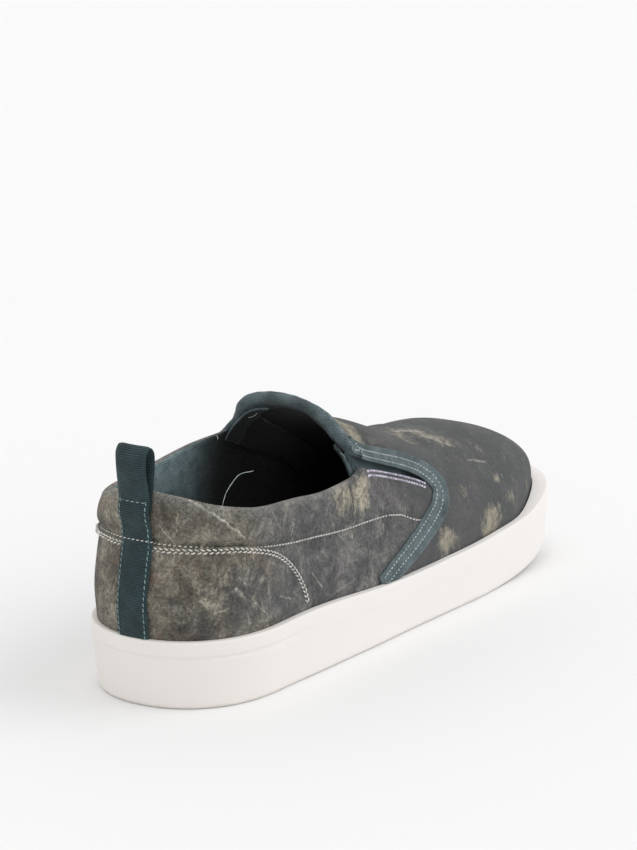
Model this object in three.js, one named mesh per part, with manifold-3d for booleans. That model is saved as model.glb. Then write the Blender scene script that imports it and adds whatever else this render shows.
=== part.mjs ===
// Slip-on sneaker for the right foot, empty and standing on its sole.
// X runs from the heel to the toe, Y from the outer to the inner side of the foot, Z up.
// The upper is found by rays from a point inside the shoe, so each station round the plan has one
// string of points from the edge of the sole up to the opening.
import * as THREE from 'three';
import { mergeVertices } from 'three/addons/utils/BufferGeometryUtils.js';
import Module from 'manifold-3d';

const wasm = await Module();
wasm.setup();

// Driving dimensions in millimetres
const soleLength = 296.5;
const ballWidth = 96;
const instepHeight = 107;
const heelHeight = 86;
const heelSideHeight = 28.9;
const waistSideHeight = 24.6;
const toeSideHeight = 27;
const toeSpring = 12;
const springStart = 0.7;
const toeRimShare = 0.8;
const heelBulge = 1.0;
const heelBulgeHeight = 46;
const heelBulgeReach = 90;
const heelRounding = 45;
const toeRounding = 66;
const toeDomeRounding = 48;
const heelUndercut = 2.6;
const sideUndercut = 0.8;
const toeUndercut = 1.5;
const bottomEdgeRadius = 1.6;
const heelRimWidth = 2.6;
const sideRimWidth = 3.4;
const toeRimWidth = 7.2;
const rimRadius = 0.8;
const cupFloor = 13;
const treadDepth = 1.5;
const treadWidth = 3.2;
const treadBorder = 9;
const sideLineDepth = 0.7;
const sideLineDrop = 6;
const sideLineEnd = 0.267;
const sideLineFade = 0.167;
const sideFullness = 0.12;
const wall = 2.2;
const fit = 0.3;
const insoleThickness = 4;
const insoleBevel = 1;
const collarPadOut = 2.8;
const collarPadIn = 2.6;
const tabRollOut = 1.2;
const tabRollIn = 2.6;
const tabRollLength = 9;
const tabTurn = 38;
const tabFade = 8;
const swellStart = 0.18;
const counterThickness = 0.8;
const tapeWidth = 11;
const tapeThickness = 1.1;
const goreThickness = 1.2;
const insideSetback = 1.0;
const tapeSetback = 0.45;
const goreOverlap = 4;
const webbingWidth = 15;
const webbingThickness = 1.2;
const webbingEase = 4;
const loopHeight = 21;
const loopDepth = 7.6;
const loopSeamDrop = 1.5;
const loopTailLength = 4;
const patchClearance = 2;
const tailClearance = 1;
const innerSideRise = 7;
const counterLength = 71;
const counterHeight = 64.5;

// How finely the faces are laid out
const stationCount = 38;
const endCrowding = 0.15;
const sideRows = 12;
const collarRows = 3;
const innerRows = 11;
const rimRows = 3;
const rowCrowding = { shortest: 70, longest: 180, power: 1.5 };
const bisections = 36;
const angleStep = 0.004;

// Plan of the sole: shares of its length, and of the ball width for the middle and the half width
const planTable = [
  { at: 0.00, middle: -0.010, half: 0.430 },
  { at: 0.16, middle: -0.010, half: 0.430 },
  { at: 0.30, middle: -0.025, half: 0.420 },
  { at: 0.44, middle: -0.052, half: 0.408 },
  { at: 0.58, middle: -0.022, half: 0.452 },
  { at: 0.70, middle: 0.006, half: 0.492 },
  { at: 0.82, middle: 0.024, half: 0.500 },
  { at: 1.00, middle: 0.060, half: 0.510 },
];

// Cross sections of the upper: shares of the sole's length and the instep height, the shift of the
// crown as a share of the ball width, and the powers that square the shoulders and the crown
const sectionTable = [
  { at: 0.000, ridge: 1.40, shift: 0.000, side: 3.0, crown: 2.2 },
  { at: 0.200, ridge: 1.28, shift: 0.010, side: 2.9, crown: 2.4 },
  { at: 0.330, ridge: 1.10, shift: 0.045, side: 2.6, crown: 3.4 },
  { at: 0.385, ridge: 0.965, shift: 0.050, side: 2.5, crown: 3.4 },
  { at: 0.440, ridge: 0.880, shift: 0.045, side: 2.4, crown: 2.8 },
  { at: 0.510, ridge: 0.812, shift: 0.030, side: 2.3, crown: 2.3 },
  { at: 0.640, ridge: 0.684, shift: 0.015, side: 2.2, crown: 2.1 },
  { at: 0.730, ridge: 0.648, shift: 0.005, side: 2.2, crown: 2.1 },
  { at: 0.850, ridge: 0.600, shift: -0.010, side: 2.5, crown: 2.4 },
  { at: 0.930, ridge: 0.570, shift: -0.030, side: 2.8, crown: 2.7 },
  { at: 1.000, ridge: 0.530, shift: -0.050, side: 3.0, crown: 3.0 },
];
const endPowers = { heel: 2.15, toeOuter: 3.4, toeInner: 2.2, toeDome: 2.3 };

// Lean of the back seam: shares of the heel height, and forward offset as a share of the ball width
const backTable = [
  { at: 0.20, forward: 0.000 },
  { at: 0.32, forward: 0.000 },
  { at: 0.48, forward: -0.011 },
  { at: 0.66, forward: 0.014 },
  { at: 0.80, forward: 0.040 },
  { at: 1.00, forward: 0.044 },
  { at: 1.20, forward: 0.044 },
];
const backReach = 110;

// Height of the sole's side over the floor, by shares of its length
const sideHeightTable = [
  { at: 0.0, height: heelSideHeight },
  { at: 0.2, height: heelSideHeight },
  { at: 0.5, height: waistSideHeight },
  { at: 0.8, height: toeSideHeight },
  { at: 1.0, height: toeSideHeight + toeRimShare * toeSpring },
];

// Width of the sole's rim outside the upper, by shares of its length
const rimTable = [
  { at: 0.00, width: heelRimWidth },
  { at: 0.18, width: sideRimWidth },
  { at: 0.78, width: sideRimWidth },
  { at: 0.92, width: toeRimWidth },
  { at: 1.00, width: toeRimWidth },
];

// How far the foot of the sole's side lies inside its rim, by shares of its length
const undercutTable = [
  { at: 0.00, by: heelUndercut },
  { at: 0.12, by: heelUndercut },
  { at: 0.32, by: sideUndercut },
  { at: 0.80, by: sideUndercut },
  { at: 1.00, by: toeUndercut },
];

// Fields of cross grooves in the tread, by shares of the sole's length
const treadTable = [
  { from: 0.07, to: 0.25, count: 5 },
  { from: 0.50, to: 0.88, count: 10 },
];

// Topline: azimuth in degrees from the toe, negative on the outer side, and height as a share of the
// heel height
const toplineTable = [
  { at: -180, height: 1.000 },
  { at: -165, height: 0.980 },
  { at: -150, height: 0.932 },
  { at: -127, height: 0.888 },
  { at: -95, height: 0.873 },
  { at: -60, height: 0.870 },
  { at: -35, height: 0.885 },
  { at: -31, height: 1.000 },
  { at: -28, height: 1.080 },
  { at: -21, height: 1.145 },
  { at: -7, height: 1.200 },
  { at: 4, height: 1.215 },
  { at: 12, height: 1.203 },
  { at: 21, height: 1.170 },
  { at: 26, height: 1.130 },
  { at: 30, height: 1.060 },
  { at: 38, height: 0.985 },
  { at: 62, height: 0.955 },
  { at: 95, height: 0.930 },
  { at: 127, height: 0.900 },
  { at: 150, height: 0.907 },
  { at: 165, height: 0.965 },
  { at: 180, height: 1.000 },
];

// Padding of the collar: azimuth from the toe, share of the full padding and drop of the seam
const paddingTable = [
  { at: 0, share: 0.00, drop: 20 },
  { at: 30, share: 0.05, drop: 20 },
  { at: 50, share: 0.20, drop: 20 },
  { at: 75, share: 0.40, drop: 17 },
  { at: 110, share: 0.60, drop: 15 },
  { at: 135, share: 0.80, drop: 14 },
  { at: 160, share: 1.00, drop: 16 },
  { at: 180, share: 1.00, drop: 18 },
];

// Tape along the back edge of the vamp, from the opening round its point and down to the sole:
// shares of the sole's length, the heel height and the tape's width
const tapeTable = [
  { at: 0.400, height: 1.005, width: 0.60, rise: 0.5 },
  { at: 0.425, height: 0.950, width: 0.68, rise: 0.6 },
  { at: 0.480, height: 0.882, width: 0.72, rise: 0.5 },
  { at: 0.544, height: 0.803, width: 0.80, rise: 0.4 },
  { at: 0.584, height: 0.735, width: 0.88, rise: 0.2 },
  { at: 0.606, height: 0.665, width: 0.95, rise: 0.0 },
  { at: 0.608, height: 0.605, width: 1.00, rise: 0.0 },
  { at: 0.594, height: 0.548, width: 1.00, rise: 0.0 },
  { at: 0.565, height: 0.495, width: 1.00, rise: 0.0 },
  { at: 0.530, height: 0.440, width: 1.00, rise: 0.0 },
];

// Slot between quarter and vamp, from past the opening to its front end: two edges, in shares of the
// sole's length and the heel height
const slotTable = [
  { lowAt: 0.366, low: 0.945, highAt: 0.362, high: 1.170, rise: 1.0 },
  { lowAt: 0.412, low: 0.875, highAt: 0.402, high: 0.985, rise: 1.0 },
  { lowAt: 0.450, low: 0.842, highAt: 0.454, high: 0.890, rise: 0.8 },
  { lowAt: 0.520, low: 0.762, highAt: 0.528, high: 0.796, rise: 0.4 },
  { lowAt: 0.572, low: 0.690, highAt: 0.580, high: 0.712, rise: 0.1 },
  { lowAt: 0.592, low: 0.650, highAt: 0.595, high: 0.660, rise: 0.0 },
];

// Upper edge of the heel patch: shares of its length and of its height over the sole
const counterTable = [
  { at: 0.00, height: 1.00 },
  { at: 0.28, height: 0.98 },
  { at: 0.45, height: 0.92 },
  { at: 0.62, height: 0.82 },
  { at: 0.76, height: 0.67 },
  { at: 0.88, height: 0.46 },
  { at: 0.96, height: 0.24 },
  { at: 1.00, height: 0.08 },
];

// The loop from its seam up the outer strand, over the top and down the inner one: shares of its
// height over the seam, and of its depth towards the toe
const loopTable = [
  { height: 0.11, depth: -0.16 },
  { height: 0.24, depth: -0.22 },
  { height: 0.44, depth: -0.37 },
  { height: 0.69, depth: -0.46 },
  { height: 0.90, depth: -0.38 },
  { height: 1.00, depth: 0.02 },
  { height: 0.90, depth: 0.40 },
  { height: 0.69, depth: 0.50 },
  { height: 0.44, depth: 0.46 },
  { height: 0.24, depth: 0.34 },
  { height: 0.11, depth: 0.18 },
];

const degree = Math.PI / 180;
const clamp = THREE.MathUtils.clamp;
const lerp = THREE.MathUtils.lerp;
const steepest = 88 * degree;

// How far the middle of a rounding lies inside its corner, as a share of its radius
const easing = 1 - Math.SQRT1_2;

// A smooth curve through one column of a table, which never swings past its rows
function curveThrough(table, column) {
  const at = table.map((row) => row.at);
  const value = table.map((row) => row[column]);
  const slope = at.map((here, i) => {
    if (i === 0 || i === at.length - 1) return 0;
    const before = (value[i] - value[i - 1]) / (here - at[i - 1]);
    const after = (value[i + 1] - value[i]) / (at[i + 1] - here);
    return before * after <= 0 ? 0 : (2 * before * after) / (before + after);
  });
  return (wanted) => {
    const x = clamp(wanted, at[0], at[at.length - 1]);
    let i = 0;
    while (i < at.length - 2 && x > at[i + 1]) i += 1;
    const span = at[i + 1] - at[i];
    const t = (x - at[i]) / span;
    const rise = value[i + 1] - value[i];
    const bend = (1 - t) * slope[i] * span - t * slope[i + 1] * span + (2 * t - 1) * rise;
    return value[i] + rise * t + t * (1 - t) * bend;
  };
}

const planMiddle = curveThrough(planTable, 'middle');
const planHalf = curveThrough(planTable, 'half');
const ridgeShare = curveThrough(sectionTable, 'ridge');
const crownShift = curveThrough(sectionTable, 'shift');
const sidePower = curveThrough(sectionTable, 'side');
const crownPower = curveThrough(sectionTable, 'crown');
const backForward = curveThrough(backTable, 'forward');
const toplineShare = curveThrough(toplineTable, 'height');
const paddingShare = curveThrough(paddingTable, 'share');
const paddingDrop = curveThrough(paddingTable, 'drop');

const sideHeights = curveThrough(sideHeightTable, 'height');
const rimWidthAt = curveThrough(rimTable, 'width');
const undercutAt = curveThrough(undercutTable, 'by');

// The last's base line lies inside the rim of the sole
const insetAt = (x) => rimWidthAt(x / soleLength) + fit;
const lastHeel = insetAt(0);
const lastToe = soleLength - insetAt(soleLength);

const springAt = (x) => toeSpring * clamp((x / soleLength - springStart) / (1 - springStart), 0, 1) ** 2;
const rimHeight = (x) => sideHeights(x / soleLength);
const cupHeight = (x) => cupFloor + springAt(x);

// Rise of a rounded end from 0 at its tip to 1 at the given length
function roundEnd(distance, length, power) {
  const open = 1 - clamp(distance / length, 0, 1);
  return (1 - open ** power) ** (1 / power);
}

// How far the last reaches to one side of its middle at a point of its length and height
function lastReach(x, z, side) {
  const lean = backForward(z / heelHeight) * ballWidth * clamp(1 - x / backReach, 0, 1);
  const toePower = side < 0 ? endPowers.toeOuter : endPowers.toeInner;
  const heelEnd = roundEnd(x - lastHeel - lean, heelRounding, endPowers.heel);
  const toeEnd = roundEnd(lastToe - x, toeRounding, toePower);
  const foot = rimHeight(x);
  const swelling = Math.sin(Math.PI * clamp((z - foot) / heelBulgeHeight, 0, 1));
  const bulge = heelBulge * swelling * clamp(1 - x / heelBulgeReach, 0, 1);
  const half = planHalf(x / soleLength) * ballWidth - insetAt(x) + bulge;
  if (z <= foot) return half * heelEnd * toeEnd;
  const dome = roundEnd(lastToe - x, toeDomeRounding, endPowers.toeDome);
  const rise = (ridgeShare(x / soleLength) * instepHeight - foot) * dome;
  if (z >= foot + rise) return -1;
  const height = (z - foot) / rise;
  const arch = (1 - height ** crownPower(x / soleLength)) ** (1 / sidePower(x / soleLength));
  return half * heelEnd * toeEnd * arch;
}

function lastMiddle(x, z) {
  const share = clamp((z - rimHeight(x)) / (instepHeight - rimHeight(x)), 0, 1);
  return (planMiddle(x / soleLength) + crownShift(x / soleLength) * share) * ballWidth;
}

// Below 0 inside the last, above 0 outside it
function lastDepth(point) {
  const aside = point.y - lastMiddle(point.x, point.z);
  return Math.abs(aside) - lastReach(point.x, point.z, Math.sign(aside));
}

// Point inside the shoe from which every ray meets the upper once
const heartTable = { length: 0.236, height: 0.168 };
const heart = new THREE.Vector3(heartTable.length * soleLength, 0, heartTable.height * instepHeight);

function rayPoint(azimuth, elevation) {
  const way = new THREE.Vector3(
    Math.cos(azimuth) * Math.cos(elevation),
    Math.sin(azimuth) * Math.cos(elevation),
    Math.sin(elevation),
  );
  let near = 0;
  let far = soleLength;
  for (let step = 0; step < bisections; step += 1) {
    const middle = (near + far) / 2;
    if (lastDepth(heart.clone().addScaledVector(way, middle)) < 0) near = middle;
    else far = middle;
  }
  return heart.clone().addScaledVector(way, (near + far) / 2);
}

// The outward direction of the last's surface at a direction from the heart
function rayNormal(azimuth, elevation) {
  const onward = rayPoint(azimuth + angleStep, elevation);
  const upward = rayPoint(azimuth, elevation + angleStep);
  const along = onward.sub(rayPoint(azimuth - angleStep, elevation));
  const up = upward.sub(rayPoint(azimuth, elevation - angleStep));
  return along.cross(up).normalize();
}

// Elevation at which the surface has the wanted height
function elevationOf(azimuth, height) {
  let low = 0;
  let high = steepest;
  for (let step = 0; step < bisections; step += 1) {
    const middle = (low + high) / 2;
    if (rayPoint(azimuth, middle).z < height) low = middle;
    else high = middle;
  }
  return (low + high) / 2;
}

function directionOf(point) {
  const level = Math.hypot(point.x - heart.x, point.y);
  const azimuth = Math.atan2(point.y, point.x - heart.x);
  return { azimuth, elevation: Math.atan2(point.z - heart.z, level) };
}

const topPoints = new Map();

function topPoint(azimuth) {
  if (!topPoints.has(azimuth)) {
    const height = toplineShare(azimuth / degree) * heelHeight;
    topPoints.set(azimuth, rayPoint(azimuth, elevationOf(azimuth, height)));
  }
  return topPoints.get(azimuth);
}

// Swell of a padded edge: none at its seam, fullest below the edge and rounding in at the top
const swell = (share) => (share >= 1 ? 0 : Math.sin(Math.PI * lerp(swellStart, 1, share)));

function padding(azimuth, drop) {
  const turn = Math.abs(azimuth / degree);
  const collar = paddingShare(turn) * swell(drop / paddingDrop(turn));
  const tab = clamp((tabTurn - turn) / tabFade, 0, 1) * swell(drop / tabRollLength);
  return {
    out: collarPadOut * collar + tabRollOut * tab,
    in: collarPadIn * collar + tabRollIn * tab,
  };
}

// The upper's two faces at a direction from the heart
function faceAt(azimuth, elevation) {
  const base = rayPoint(azimuth, elevation);
  const top = topPoint(azimuth);
  const normal = rayNormal(azimuth, elevation);
  const drop = base.z > top.z ? 0 : base.distanceTo(top);
  const pad = padding(azimuth, drop);
  return {
    base,
    normal,
    outer: base.clone().addScaledVector(normal, pad.out),
    inner: base.clone().addScaledVector(normal, -wall - pad.in),
  };
}

// A string of directions from the rim of the sole to the topline, with their lengths along it
function makeString(foot) {
  const { azimuth, elevation: start } = directionOf(foot);
  const end = directionOf(topPoint(azimuth)).elevation;
  const samples = 48;
  const elevations = [];
  const arcs = [];
  const places = [];
  for (let i = 0; i <= samples; i += 1) {
    elevations.push(lerp(start, end, i / samples));
    places.push(rayPoint(azimuth, elevations[i]));
    arcs.push(i === 0 ? 0 : arcs[i - 1] + places[i].distanceTo(places[i - 1]));
  }
  const faceAlong = (arc) => {
    let i = 0;
    while (i < samples - 1 && arcs[i + 1] < arc) i += 1;
    const t = (arc - arcs[i]) / (arcs[i + 1] - arcs[i]);
    return faceAt(azimuth, lerp(elevations[i], elevations[i + 1], t));
  };
  return { foot, length: arcs[samples], faceAlong };
}

function basePoint(x, side) {
  const z = rimHeight(x);
  return new THREE.Vector3(x, lastMiddle(x, z) + side * lastReach(x, z, side), z);
}

// Stations round the last, the outer side from heel to toe and then the inner side back
function lastStations() {
  const stationX = (i) => {
    const t = i / stationCount;
    return lerp(lastHeel, lastToe, t - endCrowding * Math.sin(2 * Math.PI * t));
  };
  const feet = [];
  for (let i = 0; i <= stationCount; i += 1) feet.push(basePoint(stationX(i), -1));
  for (let i = stationCount - 1; i > 0; i -= 1) feet.push(basePoint(stationX(i), 1));
  return feet;
}

const stations = lastStations();

// Outward directions of the base line, level with the floor
const stationNormals = stations.map((foot, i) => {
  const before = stations[(i + stations.length - 1) % stations.length];
  const after = stations[(i + 1) % stations.length];
  return new THREE.Vector3(after.y - before.y, before.x - after.x, 0).normalize();
});

// The base line moved outwards by a distance and set at a height, both functions of the length
function offsetRing(distance, height) {
  return stations.map((foot, i) => {
    const point = foot.clone().addScaledVector(stationNormals[i], distance(foot.x));
    point.z = height(point.x, foot);
    return point;
  });
}

function makeGeometry(points, faces) {
  const geometry = new THREE.BufferGeometry();
  const position = new Float32Array(points.flatMap((point) => [point.x, point.y, point.z]));
  geometry.setAttribute('position', new THREE.BufferAttribute(position, 3));
  geometry.setIndex(faces.flat());
  return geometry;
}

// Faces between rings with the same number of points, each ring joined to the next
function joinRings(rings, faces, closed) {
  const count = rings[0].length;
  const joined = closed ? rings.length : rings.length - 1;
  for (let i = 0; i < joined; i += 1) {
    const below = i * count;
    const above = ((i + 1) % rings.length) * count;
    for (let j = 0; j < count; j += 1) {
      const next = (j + 1) % count;
      faces.push([below + j, below + next, above + next], [below + j, above + next, above + j]);
    }
  }
}

// Fills a ring of the stations with rows of points across, from the outer to the inner side
function fillRing(points, ringStart, heightAt, faces, upward) {
  const across = 4;
  const around = stations.length;
  const rows = [];
  for (let i = 1; i < stationCount; i += 1) {
    const left = ringStart + i;
    const right = ringStart + around - i;
    const row = [left];
    for (let j = 1; j < across; j += 1) {
      const point = points[left].clone().lerp(points[right], j / across);
      point.z = heightAt(point.x);
      row.push(points.length);
      points.push(point);
    }
    row.push(right);
    rows.push(row);
  }
  const face = (a, b, c) => faces.push(upward ? [a, b, c] : [a, c, b]);
  const heelTip = ringStart;
  const toeTip = ringStart + stationCount;
  for (let j = 0; j < across; j += 1) {
    face(heelTip, rows[0][j], rows[0][j + 1]);
    for (let i = 0; i < rows.length - 1; i += 1) {
      face(rows[i][j], rows[i + 1][j], rows[i + 1][j + 1]);
      face(rows[i][j], rows[i + 1][j + 1], rows[i][j + 1]);
    }
    const last = rows[rows.length - 1];
    face(last[j], toeTip, last[j + 1]);
  }
}

// A closed body between two grids of points, one above the other
function bodyBetween(high, low) {
  const rings = high.map((row, i) => [...row, ...low[i].slice().reverse()]);
  const faces = [];
  joinRings(rings, faces, false);
  const count = rings[0].length;
  const columns = high[0].length;
  const end = (rings.length - 1) * count;
  for (let j = 0; j < columns - 1; j += 1) {
    const opposite = count - 1 - j;
    faces.push([opposite, j + 1, j], [opposite, opposite - 1, j + 1]);
    faces.push([end + opposite, end + j, end + j + 1], [end + opposite, end + j + 1, end + opposite - 1]);
  }
  return makeGeometry(rings.flat(), faces);
}

// A body that follows the upper between two distances from one of its faces
function shell(directions, face, nearer, further) {
  const at = (direction, distance) => {
    const found = faceAt(direction.azimuth, direction.elevation);
    return found[face].clone().addScaledVector(found.normal, distance);
  };
  const high = directions.map((row) => row.map((direction) => at(direction, further)));
  const low = directions.map((row) => row.map((direction) => at(direction, nearer)));
  return bodyBetween(high, low);
}

function toSolid(geometry) {
  const bare = new THREE.BufferGeometry();
  bare.setAttribute('position', geometry.getAttribute('position'));
  bare.setIndex(geometry.getIndex());
  const merged = mergeVertices(bare, 1e-5);
  const vertProperties = new Float32Array(merged.getAttribute('position').array);
  const triVerts = new Uint32Array(merged.getIndex().array);
  return new wasm.Manifold(new wasm.Mesh({ numProp: 3, vertProperties, triVerts }));
}

function toGeometry(solid) {
  const mesh = solid.getMesh();
  const geometry = new THREE.BufferGeometry();
  geometry.setAttribute('position', new THREE.BufferAttribute(new Float32Array(mesh.vertProperties), 3));
  geometry.setIndex(Array.from(mesh.triVerts));
  return geometry;
}

// The cup: floor, inner wall, rim, side with its line, undercut foot and tread
function soleGeometry() {
  const undercut = (x) => insetAt(x) - undercutAt(x / soleLength);
  const line = (x) => sideLineDepth * clamp((sideLineEnd - x / soleLength) / sideLineFade, 0, 1);
  const below = (drop) => (x, foot) => foot.z - drop;
  const atRim = (inwards) => (x) => insetAt(x) - inwards;
  const atFoot = (inwards) => (x) => undercut(x) - inwards;
  const rings = [
    offsetRing(() => fit, cupHeight),
    offsetRing(() => fit, below(0)),
    offsetRing(atRim(rimRadius), below(0)),
    offsetRing(atRim(easing * rimRadius), below(easing * rimRadius)),
    offsetRing(insetAt, below(rimRadius)),
    offsetRing(insetAt, below(sideLineDrop)),
    offsetRing((x) => insetAt(x) - line(x), below(sideLineDrop + sideLineDepth)),
    offsetRing((x) => insetAt(x) - line(x), below(sideLineDrop + 2 * sideLineDepth)),
    offsetRing((x) => lerp(insetAt(x), undercut(x), sideFullness), below(sideLineDrop + 3 * sideLineDepth)),
    offsetRing(undercut, (x) => springAt(x) + bottomEdgeRadius),
    offsetRing(atFoot(easing * bottomEdgeRadius), (x) => springAt(x) + easing * bottomEdgeRadius),
    offsetRing(atFoot(bottomEdgeRadius), springAt),
  ];
  const points = rings.flat();
  const faces = [];
  joinRings(rings, faces, false);
  const outward = faces.map(([a, b, c]) => [a, c, b]);
  fillRing(points, 0, cupHeight, outward, true);
  fillRing(points, (rings.length - 1) * stations.length, springAt, outward, false);
  return cutTread(makeGeometry(points, outward));
}

// Cross grooves of the tread, inside a plain border
function cutTread(geometry) {
  let solid = toSolid(geometry);
  treadTable.forEach(({ from, to, count }) => {
    for (let i = 0; i < count; i += 1) {
      const x = lerp(from, to, i / (count - 1)) * soleLength;
      const heelEnd = roundEnd(x, heelRounding, endPowers.heel);
      const toeEnd = roundEnd(soleLength - x, toeRounding, endPowers.toeInner);
      const half = planHalf(x / soleLength) * ballWidth * heelEnd * toeEnd;
      const groove = new THREE.BoxGeometry(treadWidth, 2 * (half - treadBorder), 2 * treadDepth);
      groove.rotateY(-Math.atan((springAt(x + 1) - springAt(x - 1)) / 2));
      groove.translate(x, planMiddle(x / soleLength) * ballWidth, springAt(x));
      groove.deleteAttribute('normal');
      groove.deleteAttribute('uv');
      solid = solid.subtract(toSolid(groove));
    }
  });
  return toGeometry(solid);
}

// The loose footbed
function insoleGeometry() {
  const edge = -wall - fit;
  const underside = (x) => cupHeight(x) + fit;
  const rings = [
    offsetRing(() => edge, underside),
    offsetRing(() => edge, (x) => underside(x) + insoleThickness - insoleBevel),
    offsetRing(() => edge - insoleBevel, (x) => underside(x) + insoleThickness),
  ];
  const points = rings.flat();
  const faces = [];
  joinRings(rings, faces, false);
  fillRing(points, 0, underside, faces, false);
  const top = (rings.length - 1) * stations.length;
  fillRing(points, top, (x) => underside(x) + insoleThickness, faces, true);
  return makeGeometry(points, faces);
}

// The hollow upper: each station's section runs up its outer face, over the rolled edge and down inside
function upperWall() {
  const columns = stations.map((foot, i) => {
    const string = makeString(foot);
    const low = new THREE.Vector3(foot.x, foot.y, cupHeight(foot.x) + fit);
    const bodyLength = string.length - tabRollLength;
    const { shortest, longest } = rowCrowding;
    const power = lerp(1, rowCrowding.power, clamp((string.length - shortest) / (longest - shortest), 0, 1));
    const rows = [low];
    for (let row = 0; row <= sideRows; row += 1) {
      rows.push(string.faceAlong(bodyLength * (row / sideRows) ** power).outer);
    }
    for (let row = 1; row <= collarRows; row += 1) {
      rows.push(string.faceAlong(bodyLength + (tabRollLength * row) / collarRows).outer);
    }
    const top = string.faceAlong(string.length);
    const up = top.base.clone().sub(string.faceAlong(string.length - 1).base).normalize();
    const middle = top.outer.clone().lerp(top.inner, 0.5);
    const radius = top.outer.distanceTo(top.inner) / 2;
    for (let row = 1; row <= rimRows; row += 1) {
      const turn = (Math.PI * row) / (rimRows + 1);
      rows.push(middle.clone()
        .addScaledVector(top.normal, radius * Math.cos(turn))
        .addScaledVector(up, radius * Math.sin(turn)));
    }
    for (let row = innerRows; row >= 0; row -= 1) {
      rows.push(string.faceAlong(string.length * (row / innerRows) ** power).inner);
    }
    rows.push(low.clone().addScaledVector(stationNormals[i], -wall));
    return rows;
  });
  const rings = columns[0].map((unused, row) => columns.map((column) => column[row]));
  const faces = [];
  joinRings(rings, faces, true);
  return makeGeometry(rings.flat(), faces);
}

// A direction from a place on one side: its length along the shoe and its height
function sideDirection(x, z, side) {
  const y = lastMiddle(x, z) + side * Math.max(lastReach(x, z, side), 0);
  return directionOf(new THREE.Vector3(x, y, z));
}

// Smooth path through the rows of a table, in the plane of length and height
function pathThrough(rows) {
  return new THREE.CatmullRomCurve3(rows, false, 'centripetal');
}

const sideRise = (row, side) => (side > 0 ? innerSideRise * row.rise : 0);

// Directions across the slot, from its lower to its upper edge, row by row towards its front end
function slotDirections(side, firstRow, overlap) {
  const across = 4;
  const steps = 9;
  const used = slotTable.slice(firstRow);
  const lowPath = pathThrough(used.map((row) => (
    new THREE.Vector3(row.lowAt * soleLength, 0, row.low * heelHeight + sideRise(row, side)))));
  const highPath = pathThrough(used.map((row) => (
    new THREE.Vector3(row.highAt * soleLength, 0, row.high * heelHeight + sideRise(row, side)))));
  const rows = [];
  for (let i = 0; i <= steps; i += 1) {
    const low = lowPath.getPoint(i / steps);
    const high = highPath.getPoint(i / steps);
    const wider = high.clone().sub(low).normalize().multiplyScalar(overlap);
    low.sub(wider);
    high.add(wider);
    const row = [];
    for (let j = 0; j <= across; j += 1) {
      const place = low.clone().lerp(high, j / across);
      row.push(sideDirection(place.x, place.z, side));
    }
    rows.push(side > 0 ? row : row.reverse());
  }
  return rows;
}

// The elastic panel behind the slot
function goreGeometry(side) {
  const directions = slotDirections(side, 1, goreOverlap);
  return shell(directions, 'inner', -insideSetback - goreThickness, -insideSetback);
}

function upperGeometry() {
  const beyond = wall + collarPadOut + collarPadIn;
  let solid = toSolid(upperWall());
  [-1, 1].forEach((side) => {
    const cutter = shell(slotDirections(side, 0, 0), 'base', -wall - beyond, beyond);
    solid = solid.subtract(toSolid(cutter));
  });
  return toGeometry(solid);
}

// The tape along the vamp's back edge, ending level with the rim of the sole
function tapeGeometry(side) {
  const across = 4;
  const steps = 26;
  const footRows = 3;
  const path = pathThrough(tapeTable.map((row) => {
    const height = row.height * heelHeight + sideRise(row, side);
    return new THREE.Vector3(row.at * soleLength, row.width * tapeWidth, height);
  }));
  const centres = [];
  for (let i = 0; i <= steps; i += 1) {
    const place = path.getPointAt(i / steps);
    const { azimuth, elevation } = sideDirection(place.x, place.z, side);
    const { outer, normal } = faceAt(azimuth, elevation);
    centres.push({ outer, normal, width: place.y });
  }
  const rows = centres.map(({ outer, normal, width }, i) => {
    const before = centres[Math.max(i - 1, 0)].outer;
    const after = centres[Math.min(i + 1, steps)].outer;
    const crosswise = after.clone().sub(before).cross(normal).normalize();
    const row = [];
    for (let j = 0; j <= across; j += 1) {
      row.push(outer.clone().addScaledVector(crosswise, width * (j / across - 0.5)));
    }
    return row;
  });
  const onward = centres[steps].outer.clone().sub(centres[steps - 1].outer).normalize();
  const lastRow = rows[steps];
  const ends = lastRow.map((point) => {
    const length = (point.z - rimHeight(point.x) - fit) / -onward.z;
    return point.clone().addScaledVector(onward, length);
  });
  for (let i = 1; i <= footRows; i += 1) {
    rows.push(lastRow.map((point, j) => point.clone().lerp(ends[j], i / footRows)));
  }
  const directions = rows.map((row) => row.map((point) => {
    const { azimuth } = directionOf(point);
    const height = Math.max(point.z, rimHeight(point.x) + fit);
    return { azimuth, elevation: elevationOf(azimuth, height) };
  }));
  return shell(directions, 'outer', tapeSetback, tapeSetback + tapeThickness);
}

const counterTop = curveThrough(counterTable, 'height');

// The heel patch, from the outer side round the back to the inner side, on the upper's own stations
function counterGeometry() {
  const up = 5;
  const covered = stations.filter((foot) => foot.x < counterLength);
  const outerSide = covered.filter((foot) => stations.indexOf(foot) <= stationCount).reverse();
  const innerSide = covered.filter((foot) => stations.indexOf(foot) > stationCount).reverse();
  const feet = [
    basePoint(counterLength, -1),
    ...outerSide,
    ...innerSide,
    basePoint(counterLength, 1),
  ];
  const directions = feet.map((foot) => {
    const { azimuth } = directionOf(foot);
    const bottom = foot.z + fit;
    const share = (foot.x - lastHeel) / (counterLength - lastHeel);
    const top = lerp(bottom, counterHeight, counterTop(share));
    const column = [];
    for (let j = 0; j <= up; j += 1) {
      column.push({ azimuth, elevation: elevationOf(azimuth, lerp(bottom, top, j / up)) });
    }
    return column;
  });
  return shell(directions, 'outer', fit, fit + counterThickness);
}

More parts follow.
